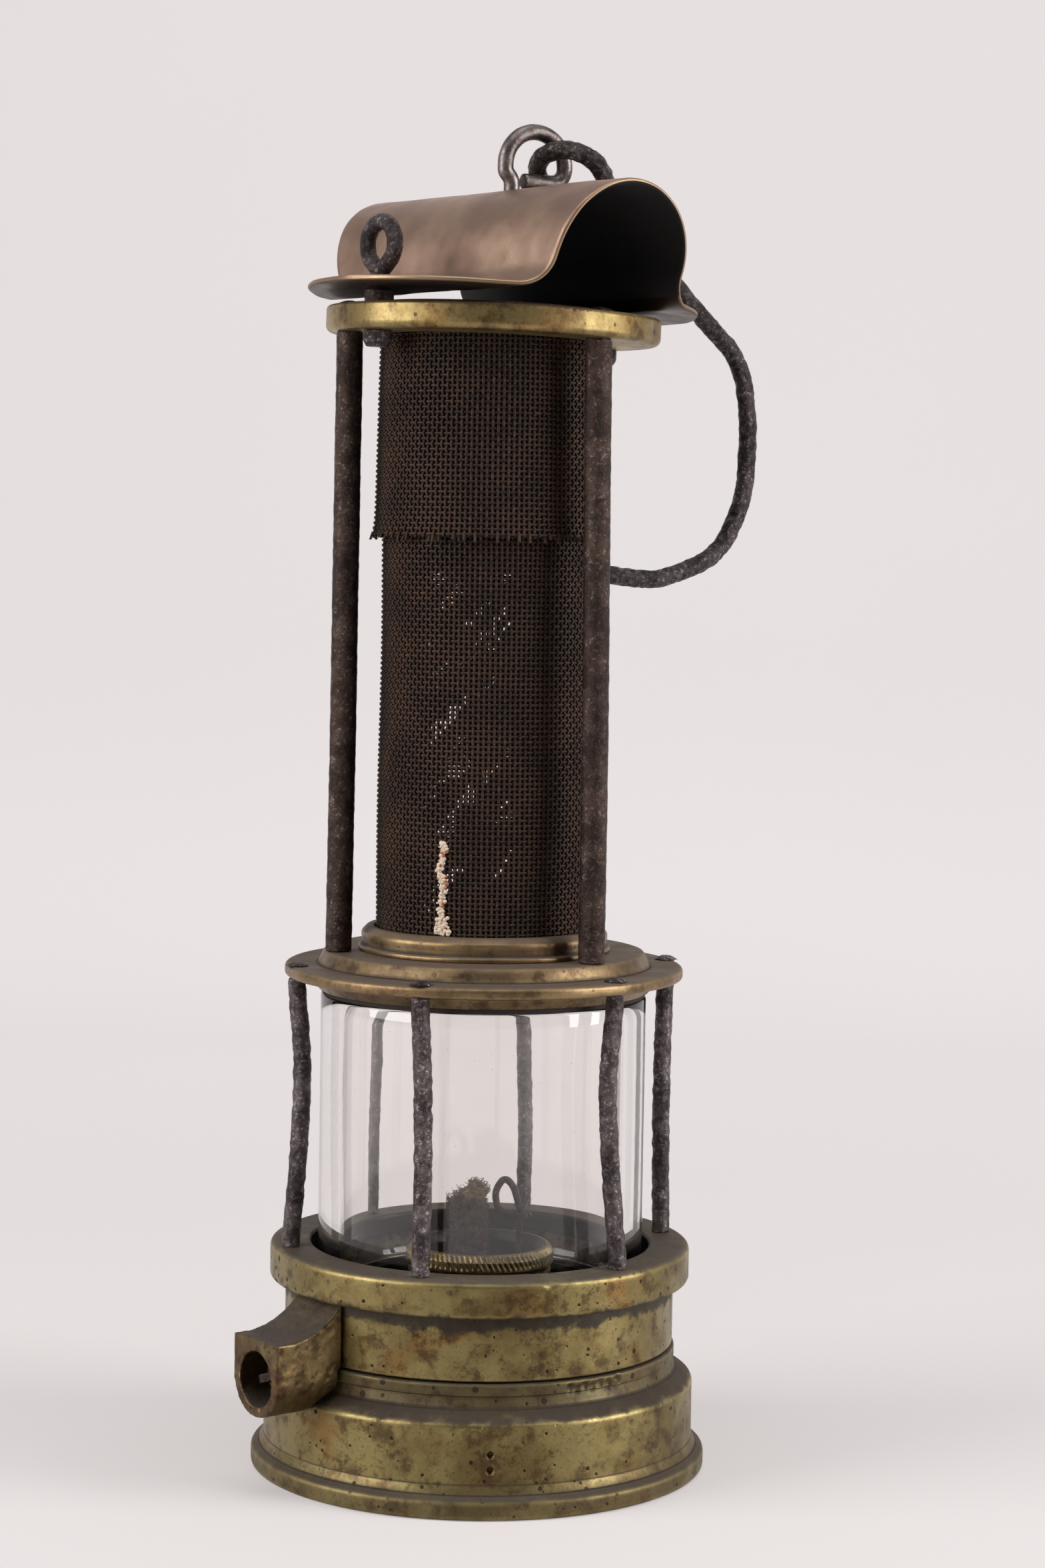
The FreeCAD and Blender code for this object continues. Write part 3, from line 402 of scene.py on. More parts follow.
def hood_brass(name, light, mid, stain):
    """Satin bronze sheet, smoother and pinker than the turned brass."""
    r = Recipe(name)
    cloud = r.noise(20, 3, 0.5)
    patch = r.noise(6, 5, 0.6)
    grain = r.noise(0.35, 3, 0.6)
    colour = r.blend(r.range(cloud, 0.32, 0.68), light, mid)
    colour = r.blend(r.math("MULTIPLY", r.range(patch, 0.55, 0.85), 0.35), colour, stain)
    colour = r.blend(r.math("MULTIPLY", r.range(grain, 0.5, 0.8), 0.2), colour, stain)
    specks = r.math("MULTIPLY", r.spots(4.5, 0.06), 0.6)
    colour = r.blend(specks, colour, srgb(60, 46, 38))
    # Rim painted lighter: rubbed metal and painted highlight.
    edge = r.range(r.attribute("edge"), 0.35, 0.95)
    colour = r.blend(r.math("MULTIPLY", edge, 0.5), colour, srgb(150, 126, 92))
    rough = r.range(patch, 0.3, 0.7, 0.38, 0.5)
    height = r.math("ADD", grain, r.math("MULTIPLY", specks, -1.0))
    return r.surface(colour, rough, 0.85, r.bump(height, 0.03))


def soot():
    r = Recipe("soot")
    cloud = r.noise(4, 4, 0.6)
    colour = r.blend(cloud, srgb(10, 9, 9), srgb(30, 27, 26))
    return r.surface(colour, 0.85, 0.1, r.bump(r.noise(0.8, 4), 0.12))


def forged_iron(name, dark, light, glint, rust, glint_share=0.5, shine=0.36, depth=0.2):
    """Hand-forged iron with pits, brown rust, and rubbed high spots and flecks painted silvery as highlights.
    """
    r = Recipe(name)
    cloud = r.noise(5, 4, 0.6)
    patch = r.noise(1.6, 5, 0.7)
    fine = r.noise(0.4, 4, 0.75)
    colour = r.blend(r.range(cloud, 0.38, 0.62), dark, light)
    colour = r.blend(r.math("MULTIPLY", r.range(patch, 0.5, 0.66), 0.7), colour, rust)
    # Painted highlight: silvery glint colour on the high spots and in random flecks, the high spots also
    # rubbed bare.
    high = r.range(r.pointiness(), 0.5, 0.56)
    bright = r.math("MULTIPLY", r.math("MULTIPLY", high, r.range(fine, 0.42, 0.6)), glint_share)
    colour = r.blend(bright, colour, glint)
    flecks = r.range(r.noise(0.7, 3, 0.75), 0.56, 0.64)
    flecks = r.math("MULTIPLY", flecks, r.range(cloud, 0.4, 0.6, 0.3, 1.0))
    colour = r.blend(r.math("MULTIPLY", flecks, glint_share), colour, glint)
    rough = r.range(patch, 0.35, 0.65, shine, shine + 0.25)
    height = r.math("ADD", r.math("MULTIPLY", fine, 0.5), patch)
    return r.surface(colour, rough, 0.8, r.bump(height, depth))


def gauze_wire():
    r = Recipe("gauze_wire")
    cloud = r.noise(9, 4, 0.6)
    fine = r.noise(0.7, 3, 0.6)
    colour = r.blend(r.range(cloud, 0.35, 0.65), srgb(38, 24, 16), srgb(58, 39, 27))
    # Painted highlight: lighter brown flecks along the wire.
    colour = r.blend(r.math("MULTIPLY", r.range(fine, 0.5, 0.7), 0.45), colour, srgb(94, 70, 52))
    return r.surface(colour, 0.6, 0.0, r.bump(fine, 0.04), Specular_IOR_Level=0.25)


def lamp_glass():
    """Thick clear glass with a faint warm tint, dust specks and upright scuffs."""
    r = Recipe("lamp_glass")
    glass = r.tree.nodes.new("ShaderNodeBsdfPrincipled")
    glass.inputs["Base Color"].default_value = (0.972, 0.955, 0.945, 1.0)
    glass.inputs["Roughness"].default_value = 0.0
    glass.inputs["Transmission Weight"].default_value = 1.0
    glass.inputs["IOR"].default_value = 1.5
    dust = r.tree.nodes.new("ShaderNodeBsdfDiffuse")
    dust.inputs["Color"].default_value = (0.45, 0.41, 0.38, 1.0)
    specks = r.spots(2.0, 0.06)
    streaks = r.range(r.noise(1.0, 4, 0.7, r.stretched(2.2, 2.2, 0.05)), 0.66, 0.8)
    scuffs = r.math("MULTIPLY", streaks, r.range(r.noise(7, 3), 0.55, 0.75))
    haze = r.range(r.noise(18, 3), 0.4, 0.8, 0.0, 0.02)
    veil = r.math("ADD", r.math("MULTIPLY", scuffs, 0.3), haze)
    share = r.math("ADD", r.math("MULTIPLY", specks, 0.55), veil)
    mix = r.tree.nodes.new("ShaderNodeMixShader")
    r.put(mix.inputs[0], share)
    r.put(mix.inputs[1], glass.outputs[0])
    r.put(mix.inputs[2], dust.outputs[0])
    r.put(r.output.inputs["Surface"], mix.outputs[0])
    return r.material


def plain(name, colour, other, size, roughness, depth=0.05, metallic=0.0):
    r = Recipe(name)
    cloud = r.noise(size, 4, 0.6)
    return r.surface(r.blend(cloud, colour, other), roughness, metallic, r.bump(cloud, depth))


def burnt_cotton():
    """Charred brown cotton, fairer and yellower towards its tip."""
    r = Recipe("burnt_cotton")
    clump = r.noise(1.6, 4, 0.65)
    tip = r.range(r.math("ADD", r.axis(2), r.math("MULTIPLY", clump, 3.0)), 51.5, 55.5)
    charred = r.blend(r.range(clump, 0.35, 0.65), srgb(40, 28, 21), srgb(86, 64, 47))
    fair = r.blend(r.range(clump, 0.35, 0.65), srgb(96, 74, 50), srgb(150, 122, 86))
    return r.surface(r.blend(tip, charred, fair), 0.95, 0.0, r.bump(clump, 0.1))


BASE_BRASS = aged_brass(
    "base_brass", srgb(140, 126, 82), srgb(112, 96, 60), srgb(72, 56, 39), srgb(80, 70, 60),
    spot_share=0.9, blotched=0.65,
    # Painted shade: darker bands just under the flange, along the neck and round the foot.
    shade_bands=((33.2, 37.5, 0.9), (16.8, 24.5, 0.55), (-1.0, 5.5, 0.35)),
)
TOP_BRASS = aged_brass(
    "top_brass", srgb(138, 116, 83), srgb(102, 84, 62), srgb(64, 50, 38), srgb(92, 78, 66), 0.4
)
PLATE_BRASS = aged_brass(
    "plate_brass", srgb(158, 138, 92), srgb(128, 110, 70), srgb(88, 70, 47), srgb(84, 72, 60),
    spot_share=0.6, edge_wear_and_highlight=0.6, shine=0.36, blotched=0.4, dusty=0.7,
)
DARK_BRASS = aged_brass(
    "dark_brass", srgb(124, 104, 70), srgb(88, 71, 49), srgb(50, 38, 28), srgb(66, 56, 48), 0.6, 1.0
)
SOOTY_BRASS = aged_brass(
    "sooty_brass", srgb(52, 45, 38), srgb(34, 29, 26), srgb(18, 15, 13), srgb(38, 34, 32), 0.3, 0.3
)
HOOD_BRASS = hood_brass("hood_bronze", srgb(158, 132, 114), srgb(134, 109, 95), srgb(104, 82, 68))
# Painted shade: a darker copy of the hood bronze for the undersides of the flanges.
HOOD_SHADED_UNDERSIDE = hood_brass("hood_underside_painted_shade", srgb(82, 67, 58), srgb(60, 48, 42), srgb(40, 32, 29))
SOOT = soot()
POST_IRON = forged_iron(
    "post_iron", srgb(38, 28, 24), srgb(66, 52, 46), srgb(140, 126, 120), srgb(56, 36, 25), 0.5
)
PILLAR_IRON = forged_iron(
    "pillar_iron", srgb(50, 42, 42), srgb(88, 78, 79), srgb(176, 168, 168), srgb(54, 39, 34), 0.65
)
HOOK_IRON = forged_iron(
    "hook_iron", srgb(34, 27, 27), srgb(66, 57, 57), srgb(168, 160, 162), srgb(46, 33, 27), 0.5, 0.3, 0.3
)
EYE_STEEL = forged_iron(
    "eye_steel", srgb(84, 76, 74), srgb(118, 110, 107), srgb(190, 182, 178), srgb(84, 64, 54),
    glint_share=0.35, shine=0.24, depth=0.06,
)
WIRE = gauze_wire()
CLOG = plain("soot_in_gauze", srgb(12, 7, 5), srgb(24, 15, 10), 1.5, 0.9)
GLASS = lamp_glass()
LEATHER = plain("old_leather", srgb(30, 23, 19), srgb(46, 36, 30), 2.0, 0.8)
COTTON = burnt_cotton()
DEPOSIT = plain("white_deposit", srgb(236, 222, 208), srgb(204, 176, 148), 1.4, 0.9, 0.2)
RUSTY_DEPOSIT = plain("orange_deposit", srgb(180, 112, 62), srgb(140, 88, 52), 0.8, 0.85, 0.15)


# ---------------------------------------------------------------- turned brass
def wear(angle, r, z, amount=0.05):
    """Shallow unevenness of hand-worn brass, inwards only."""
    place = Vector((r * math.cos(angle), r * math.sin(angle), z))
    return -amount * (0.5 + 0.5 * fractal(place, 6.0))


def punch(angle, r, z, at_angle, at_z, radius, depth):
    """Round dent."""
    across = math.hypot((angle - at_angle) * r, z - at_z) / radius
    return -depth * (1 - across * across) if across < 1 else 0.0


def soot_within(piece, radius, above):
    """Gives the faces inside a radius and above a height the piece's second material."""
    for face in piece.data.polygons:
        inside = math.hypot(face.center.x, face.center.y) < radius * MM
        face.material_index = 1 if inside and face.center.z > above * MM else 0


# dents as (degrees round the lamp, height in mm)
NECK_DENTS = [
    (-62.5, 22.4), (-60.2, 22.1), (-57.8, 22.5), (-55.0, 22.2), (-52.6, 22.6), (-49.5, 22.3), (-46.0, 22.7),
]
DRUM_DOTS = [(-86.0, 11.7), (-86.0, 8.8)]


def vessel_wear(angle, r, z):
    turn = angle if angle < math.pi else angle - 2 * math.pi
    out = wear(angle, r, z)
    if r > 35:
        for at, height in NECK_DENTS:
            out += punch(turn, r, z, math.radians(at), height, 1.0, 0.7)
        for at, height in DRUM_DOTS:
            out += punch(turn, r, z, math.radians(at), height, 0.75, 1.4)
    return out


def make_vessel():
    wall = 1.7
    bore = FOOT_RADIUS - 4.1
    corners = [
        (bore, 0), (FOOT_RADIUS, 0, 0.9), (FOOT_RADIUS, 3.4, 1.0), (42.5, 4.4, 0.7), (41.6, 6.1, 0.3),
        (41.6, 17.2, 1.3), (40.0, 18.3, 0.7), (38.2, 19.4, 1.2), (37.6, 21.6, 0.1), (38.0, 21.7, 0.2),
        (38.0, 23.9, 0.4), (34.0, 23.9), (34.0, DECK_Z, 0.4), (10.4, DECK_Z), (10.4, DECK_Z - 1.6),
        (34.0 - wall, DECK_Z - 1.6, 0.8), (34.0 - wall, 22.4, 1.0), (bore, 16.0, 1.0),
    ]
    piece = lathe("oil_vessel_turned", corners, [BASE_BRASS, SOOTY_BRASS], 720, 0.4, vessel_wear)
    soot_within(piece, 33.5, DECK_Z - 0.5)
    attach(piece, VESSEL)
    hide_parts("oil_vessel")


def ring_wear(angle, r, z):
    turn = angle if angle < math.pi else angle - 2 * math.pi
    out = wear(angle, r, z)
    if z > FLANGE_TOP - 2.0 and r > FLANGE_RADIUS - 2.5:
        out += punch(turn, r, z, math.radians(-70.5), FLANGE_TOP, 1.4, 0.5)
    return out


def make_lower_ring():
    corners = [
        (34.05, COLLAR_BOTTOM, 0.3), (37.6, COLLAR_BOTTOM, 0.5), (37.6, 36.5), (FLANGE_RADIUS, 36.5, 0.8),
        (FLANGE_RADIUS, FLANGE_TOP, 1.1), (32.8, FLANGE_TOP, 0.4), (32.8, FLANGE_TOP - 4.0),
        (34.05, FLANGE_TOP - 4.0),
    ]
    piece = lathe("lower_ring_turned", corners, [BASE_BRASS, SOOTY_BRASS], 480, 0.5, ring_wear)
    soot_within(piece, 33.2, FLANGE_TOP - 5.0)
    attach(piece, CAGE)
    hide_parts("lower_ring")


def make_middle_plate():
    corners = [
        (19.9, MIDDLE_Z), (MIDDLE_RADIUS, MIDDLE_Z, 0.7), (MIDDLE_RADIUS, MIDDLE_Z + 2.3, 0.9),
        (32.1, MIDDLE_Z + 2.3, 0.3), (30.8, STEP_Z, 0.6), (22.3, STEP_Z), (22.3, STEP_Z - 0.6),
        (19.9, STEP_Z - 0.6),
    ]
    piece = lathe("middle_plate_turned", corners, TOP_BRASS, 360, 0.8, wear)
    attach(piece, CAGE)
    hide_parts("middle_plate")
    top = GAUZE_COLLAR_TOP
    bead = [
        (21.25, STEP_Z), (COLLAR_RADIUS, STEP_Z, 0.2), (COLLAR_RADIUS, STEP_Z + 0.8, 0.4),
        (23.6, STEP_Z + 1.3, 0.5), (23.8, top - 1.2, 1.0), (22.6, top, 0.7), (21.25, top, 0.3),
    ]
    piece = lathe("gauze_collar_turned", bead, TOP_BRASS, 300, 0.6, wear)
    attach(piece, CAGE)
    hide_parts("gauze_collar")


def make_burner_ring():
    """Knurled union ring: slanting notches round its head."""
    notches = 84
    knurl_low = HEAD_TOP - 2.7
    knurl_high = HEAD_TOP - 0.2

    def knurl(angle, r, z):
        if r < HEAD_RADIUS - 1.0 or not knurl_low < z < knurl_high:
            return 0.0
        wave = math.cos(notches * (angle + 0.03 * (z - knurl_low)))
        fade = min(1.0, (z - knurl_low) / 0.3, (knurl_high - z) / 0.3)
        return -0.4 * fade * max(0.0, wave)

    corners = [
        (11.6, BURNER_LOW), (12.95, BURNER_LOW), (12.95, HEAD_TOP - 3.8), (13.8, HEAD_TOP - 3.8, 0.1),
        (HEAD_RADIUS, HEAD_TOP - 3.3, 0.2), (HEAD_RADIUS, HEAD_TOP - 1.3, 0.3), (13.4, HEAD_TOP, 0.7),
        (12.6, HEAD_TOP, 0.3), (11.6, HEAD_TOP - 1.8, 0.5),
    ]
    piece = lathe("burner_ring_knurled", corners, [PLATE_BRASS, SOOTY_BRASS], 840, 0.3, knurl)
    soot_within(piece, 12.9, 0)
    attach(piece, "burner_ring")
    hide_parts("burner_ring")


# ---------------------------------------------------------------- glass
def make_glass():
    inner = GLASS_RADIUS - 4.2
    corners = [
        (inner, GLASS_Z, 0.6), (GLASS_RADIUS, GLASS_Z, 0.6),
        (GLASS_RADIUS, GLASS_TOP, 0.6), (inner, GLASS_TOP, 0.6),
    ]
    piece = lathe("glass_blown", corners, GLASS, 360, 3.0)
    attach(piece, CAGE)
    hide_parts("glass_cylinder")


# ---------------------------------------------------------------- gauze
GAUZE_PITCH = 0.98


def weave(name, radius_at, low, high, wire, node, is_open, frayed=False, seed=1):
    """Plain-woven cylinder of wire, clogged with soot wherever is_open(column angle, z) is false."""
    around = int(round(2 * math.pi * radius_at((low + high) / 2) / GAUZE_PITCH / 2)) * 2
    rows = int((high - low) / GAUZE_PITCH)
    chance = random.Random(seed)
    swing = wire * 0.95
    verts, faces = [], []
    sides = 4

    def section(centre, across, out):
        start = len(verts)
        for k in range(sides):
            turn = 2 * math.pi * (k + 0.5) / sides
            verts.append((centre + across * (wire * math.cos(turn)) + out * (wire * math.sin(turn))) * MM)
        return start

    def skin(first, second):
        for k in range(sides):
            after = (k + 1) % sides
            faces.append((first + k, first + after, second + after, second + k))

    def spot(column, row, lift):
        angle = 2 * math.pi * column / around
        z = low + row * GAUZE_PITCH
        drift = 0.10 * noise.noise(Vector((column * 0.13, row * 0.13, seed)))
        angle += drift * GAUZE_PITCH / radius_at(z)
        out = Vector((math.cos(angle), math.sin(angle), 0))
        return out * (radius_at(z) + lift) + Vector((0, 0, z)), out

    for column in range(around):
        last = None
        first_row = -chance.uniform(0.2, 1.5) if frayed else 0
        for row in [first_row] + list(range(0 if frayed else 1, rows + 1)):
            lift = swing if (column + int(math.floor(row))) % 2 else -swing
            if row < 0:
                lift = chance.uniform(0.0, 0.7)
            centre, out = spot(column, row, lift)
            here = section(centre, Vector((-out.y, out.x, 0)), out)
            if last is not None:
                skin(last, here)
            last = here
    for row in range(rows + 1):
        first = last = None
        for column in range(around):
            lift = -swing if (column + row) % 2 else swing
            centre, out = spot(column, row, lift)
            here = section(centre, Vector((0, 0, 1)), out)
            if last is not None:
                skin(last, here)
            else:
                first = here
            last = here
        skin(last, first)
    woven = len(faces)
    for row in range(rows):
        for column in range(around):
            if is_open(2 * math.pi * (column + 0.5) / around, low + (row + 0.5) * GAUZE_PITCH):
                continue
            start = len(verts)
            for across, up in ((0, 0), (1, 0), (1, 1), (0, 1)):
                place, out = spot(column + across, row + up, -0.4 * wire)
                verts.append(place * MM)
            faces.append((start, start + 1, start + 2, start + 3))
    piece = new_piece(name, verts, faces, [WIRE, CLOG])
    piece.data.polygons.foreach_set("material_index", [0] * woven + [1] * (len(faces) - woven))
    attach(piece, CAGE)
    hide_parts(node)
    return piece


def make_gauzes():
    foot_z = STEP_Z
    top_z = TOP_UNDERSIDE + 0.5

    def inner_radius(z):
        share = (z - foot_z) / (top_z - foot_z)
        return 20.6 - 0.7 * share + 0.12 * math.sin(z * 0.11)

    strips = random.Random(21)

    def sparkles(angle, z):
        """Clear weave: most of the back, and broken slanting strips of the front."""
        across = angle * 20.6
        broken = strips.random()
        if math.sin(angle) > 0:
            return noise.noise(Vector((across * 0.09, z * 0.09, 4.0))) > -0.25
        slant = noise.noise(Vector(((z - 1.3 * across) * 0.19, (1.3 * z + across) * 0.05, 2.0)))
        return slant > 0.1 and -0.55 < math.cos(angle) < 0.3 and z < 172 and broken < 0.55

    weave("gauze_woven", inner_radius, foot_z, top_z, GAUZE_WIRE, "main_gauze", sparkles, seed=3)
    cap_low = TOP_UNDERSIDE - 37.0

    def outer_radius(z):
        share = (z - cap_low) / (top_z - cap_low)
        flare = 0.5 * math.exp(-max(0.0, z - cap_low) / 1.6)
        return 21.75 - 0.75 * share + flare

    def clogged(angle, z):
        return False

    weave("outer_gauze_woven", outer_radius, cap_low, top_z, GAUZE_WIRE, "outer_gauze", clogged, True, 7)


# ---------------------------------------------------------------- hood
def hood_frame():
    """Matrix from the hood's own axes (X along the ridge, foot of the arch at z = 0) to the lamp."""
    place = Matrix.Translation(HOOD_CENTRE)
    return place @ Matrix.Rotation(-HOOD_TURN, 4, "Z") @ Matrix.Rotation(-HOOD_TILT, 4, "X")


def make_hood():
    """Oval sheet bent over the arch and out into the two flanges, with a rounded rim."""
    arch, bend, thick = 15.35, 5.1, 1.0
    half_length, spread = 37.0, 51.5
    foot = arch + bend
    arc_arch = arch * math.pi / 2
    arc_bend = bend * math.pi / 2
    reach = arc_arch + arc_bend + (39.9 - foot)
    across_steps, along_steps = 150, 90
    matrix = hood_frame()

    def mid(s):
        """(point, outward normal) of the sheet's middle at developed distance s."""
        side = 1 if s >= 0 else -1
        d = abs(s)
        if d < arc_arch:
            turn = d / arch
            return Vector((side * arch * math.sin(turn), bend + arch * math.cos(turn))), Vector(
                (side * math.sin(turn), math.cos(turn))
            )
        if d < arc_arch + arc_bend:
            turn = (d - arc_arch) / bend
            centre = Vector((side * foot, bend))
            arm = Vector((-side * math.cos(turn), -math.sin(turn)))
            return centre + arm * bend, -arm
        return Vector((side * (foot + d - arc_arch - arc_bend), 0)), Vector((0, 1))

    def dent(s, w):
        return 0.22 * fractal(Vector((s, w, 3.0)), 16.0, 2) + 0.05 * fractal(Vector((s, w, 9.0)), 4.0, 2)

    verts, edge = [], []
    layers, arched = [], []
    for face in (1, -1):
        start = len(verts)
        for i in range(across_steps + 1):
            lane = math.sin(math.pi / 2 * (2 * i / across_steps - 1))
            s = reach * (0.35 * lane + 0.65 * (2 * i / across_steps - 1))
            arched.append(abs(s) < arc_arch + 0.4 * arc_bend)
            length = half_length * math.sqrt(max(0.0, 1 - (s / spread) ** 2))
            point, out = mid(s)
            for j in range(along_steps + 1):
                t = 2 * j / along_steps - 1
                t = 0.5 * math.sin(math.pi / 2 * t) + 0.5 * t
                w = length * t
                rim = min(1.0, (length - abs(w)) / 0.6, (reach - abs(s)) / 0.6)
                half_sheet = thick / 2 * (0.35 + 0.65 * math.sqrt(max(0.0, rim)))
                lift = face * half_sheet + dent(s, w) * min(1.0, rim + 0.3)
                verts.append(matrix @ Vector((w, point.x + out.x * lift, point.y + out.y * lift)) * MM)
                edge.append(1.0 - rim if rim < 1 else 0.0)
        layers.append(start)
    columns = along_steps + 1

    def at(layer, i, j):
        return layers[layer] + i * columns + j

    faces, slots = [], []
    for layer in (0, 1):
        for i in range(across_steps):
            for j in range(along_steps):
                quad = (at(layer, i, j), at(layer, i + 1, j), at(layer, i + 1, j + 1), at(layer, i, j + 1))
                faces.append(quad if layer == 0 else quad[::-1])
                # Underside faces: soot under the arch, painted-shade bronze under the flanges.
                slots.append(0 if layer == 0 else 1 if arched[i] else 2)
    for i in range(across_steps):
        for j, flip in ((0, False), (along_steps, True)):
            quad = (at(0, i, j), at(1, i, j), at(1, i + 1, j), at(0, i + 1, j))
            faces.append(quad[::-1] if flip else quad)
            slots.append(0)
    for j in range(along_steps):
        for i, flip in ((0, True), (across_steps, False)):
            quad = (at(0, i, j), at(1, i, j), at(1, i, j + 1), at(0, i, j + 1))
            faces.append(quad[::-1] if flip else quad)
            slots.append(0)
    piece = new_piece("hood_bent", verts, faces, [HOOD_BRASS, SOOT, HOOD_SHADED_UNDERSIDE])
    piece.data.polygons.foreach_set("material_index", slots)
    attribute = piece.data.attributes.new("edge", "FLOAT", "POINT")
    attribute.data.foreach_set("value", edge)
    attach(piece, CAGE)
    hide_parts("hood")


# ---------------------------------------------------------------- wick and deposit
def fibre(verts, faces, path, radius):
    """Thin three-sided thread through a list of points (mm)."""
    last = None
    for i, here in enumerate(path):
        along = (path[min(i + 1, len(path) - 1)] - path[max(i - 1, 0)]).normalized()
        side = along.orthogonal().normalized()
        other = along.cross(side)
        taper = radius * (1.0 if i < len(path) - 1 else 0.4)
        start = len(verts)
        for k in range(3):
            turn = 2 * math.pi * k / 3
            verts.append((here + side * math.cos(turn) * taper + other * math.sin(turn) * taper) * MM)
        if last is not None:
            for k in range(3):
                after = (k + 1) % 3
                faces.append((last + k, last + after, start + after, start + k))
        last = start


def make_wick():
    """Ragged brown ball of cotton standing out of the wick tube: a lumpy core under loose threads."""
    low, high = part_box("wick")
    middle = (low + high) / 2 / MM
    widest = (high.x - low.x) / 2 / MM - 0.05
    top = high.z / MM
    base = size_of("wick_tube")[2] - 0.5
    chance = random.Random(5)

    def surface(angle, share):
        """Point of the lump at an angle and a share of its height."""
        lower = 1.3 - 1.3 * math.cos(angle) if share > 0.5 else 0.0
        z = base + (top - 0.4 - base) * share - lower * (share - 0.5) * 2
        round_off = math.sqrt(max(0.0, 1 - max(0.0, (share - 0.75) / 0.25) ** 2))
        r = (2.7 + 1.4 * share) * round_off
        bulge = noise.fractal(Vector((1.5 * math.cos(angle), 1.5 * math.sin(angle), z * 0.4)), 0.6, 2.0, 6)
        r = min(widest - 0.3, r * (1 + 0.85 * bulge))
        return Vector((middle.x + r * math.cos(angle), middle.y + r * math.sin(angle), z))

    verts, faces = [], []
    columns, rows = 60, 44
    for i in range(rows + 1):
        for k in range(columns):
            verts.append(surface(2 * math.pi * k / columns, i / rows) * MM)
    for i in range(rows):
        for k in range(columns):
            after = (k + 1) % columns
            row, above = i * columns, (i + 1) * columns
            faces.append((row + k, row + after, above + after, above + k))
    faces.append([rows * columns + k for k in range(columns)])
    faces.append([columns - 1 - k for k in range(columns)])
    for _ in range(1500):
        angle = chance.uniform(0, 2 * math.pi)
        share = chance.uniform(0.15, 1.0)
        start = surface(angle, share)
        out = Vector((math.cos(angle), math.sin(angle), 0.9 * (share - 0.4))).normalized()
        drift = Vector((chance.uniform(-1, 1), chance.uniform(-1, 1), chance.uniform(-0.6, 1))) * 1.3
        path = []
        for k in range(5):
            here = start + out * (0.8 * math.sin(math.pi * k / 4)) + drift * (k / 4)
            reach = Vector((here.x - middle.x, here.y - middle.y, 0))
            if reach.length > widest:
                here -= reach * (1 - widest / reach.length)
            path.append(Vector((here.x, here.y, min(here.z, top - 0.1))))
        fibre(verts, faces, path, chance.uniform(0.03, 0.08))
    piece = new_piece("wick_tuft", verts, faces, COTTON)
    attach(piece, VESSEL)
    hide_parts("wick")


def blob(bm, centre, radius, chance):
    made = bmesh.ops.create_icosphere(bm, subdivisions=2, radius=radius * MM)
    stretch = Vector((chance.uniform(0.8, 1.2), chance.uniform(0.8, 1.2), chance.uniform(0.8, 1.2)))
    for v in made["verts"]:
        place = v.co / MM
        bulge = 1 + 0.35 * noise.noise(place * 2.3 + centre)
        stretched = Vector((place.x * stretch.x, place.y * stretch.y, place.z * stretch.z))
        v.co = stretched * bulge * MM + centre * MM


def make_deposit():
    """Crusty white run with rust-coloured flecks on the gauze, low at the front left."""
    chance = random.Random(11)
    start = GAUZE_COLLAR_TOP
    for name, low, high, count, spread, material in (
        ("deposit_drop", 0.2, 3.4, 70, 0.95, DEPOSIT),
        ("deposit_rust", 2.8, 16.5, 34, 0.6, RUSTY_DEPOSIT),
        ("deposit_run", 3.6, 17.5, 170, 0.5, DEPOSIT),
    ):
        bm = bmesh.new()
        for _ in range(count):
            z = start + chance.uniform(low, high)
            x = -7.9 + chance.gauss(0, spread * 0.6) + 0.25 * math.sin(z * 0.9)
            y = -math.sqrt(21.0 ** 2 - x * x)
            blob(bm, Vector((x, y, z)), chance.uniform(0.2, 0.5), chance)
        mesh = bpy.data.meshes.new(name)
        bm.to_mesh(mesh)
        bm.free()
        piece = bpy.data.objects.new(name, mesh)
        bpy.context.scene.collection.objects.link(piece)
        mesh.materials.append(material)
        mesh.polygons.foreach_set("use_smooth", [True] * len(mesh.polygons))
        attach(piece, CAGE)


# ---------------------------------------------------------------- floor, light, camera
def stage_material():
    """Pale cloth: mostly its own light, so it stays pale, with a share that takes the shadow."""
    r = Recipe("pale_cloth")
    cloud = r.noise(220, 3, 0.5)
    tone = r.blend(cloud, srgb(233, 227, 229), srgb(228, 220, 222))
    diffuse = r.tree.nodes.new("ShaderNodeBsdfDiffuse")
    diffuse.inputs["Color"].default_value = (0.42, 0.40, 0.395, 1)
    glow = r.tree.nodes.new("ShaderNodeEmission")
    r.put(glow.inputs["Color"], tone)
    path = r.tree.nodes.new("ShaderNodeLightPath")
    seen = r.math("MAXIMUM", path.outputs["Is Camera Ray"], path.outputs["Is Glossy Ray"])
    seen = r.math("MAXIMUM", seen, path.outputs["Is Transmission Ray"])
    # Painted light: the glow grows towards the back and is a little weaker on the upright backdrop.
    distance = r.range(r.axis(1), 150, 600, 0.40, 0.56)
    lift = r.math("SUBTRACT", distance, r.range(r.normal_z(), 1.0, 0.6, 0.0, 0.08))
    r.put(glow.inputs["Strength"], r.math("MULTIPLY", seen, lift))
    add = r.tree.nodes.new("ShaderNodeAddShader")
    r.put(add.inputs[0], diffuse.outputs[0])
    r.put(add.inputs[1], glow.outputs[0])
    r.put(r.output.inputs["Surface"], add.outputs[0])
    return r.material


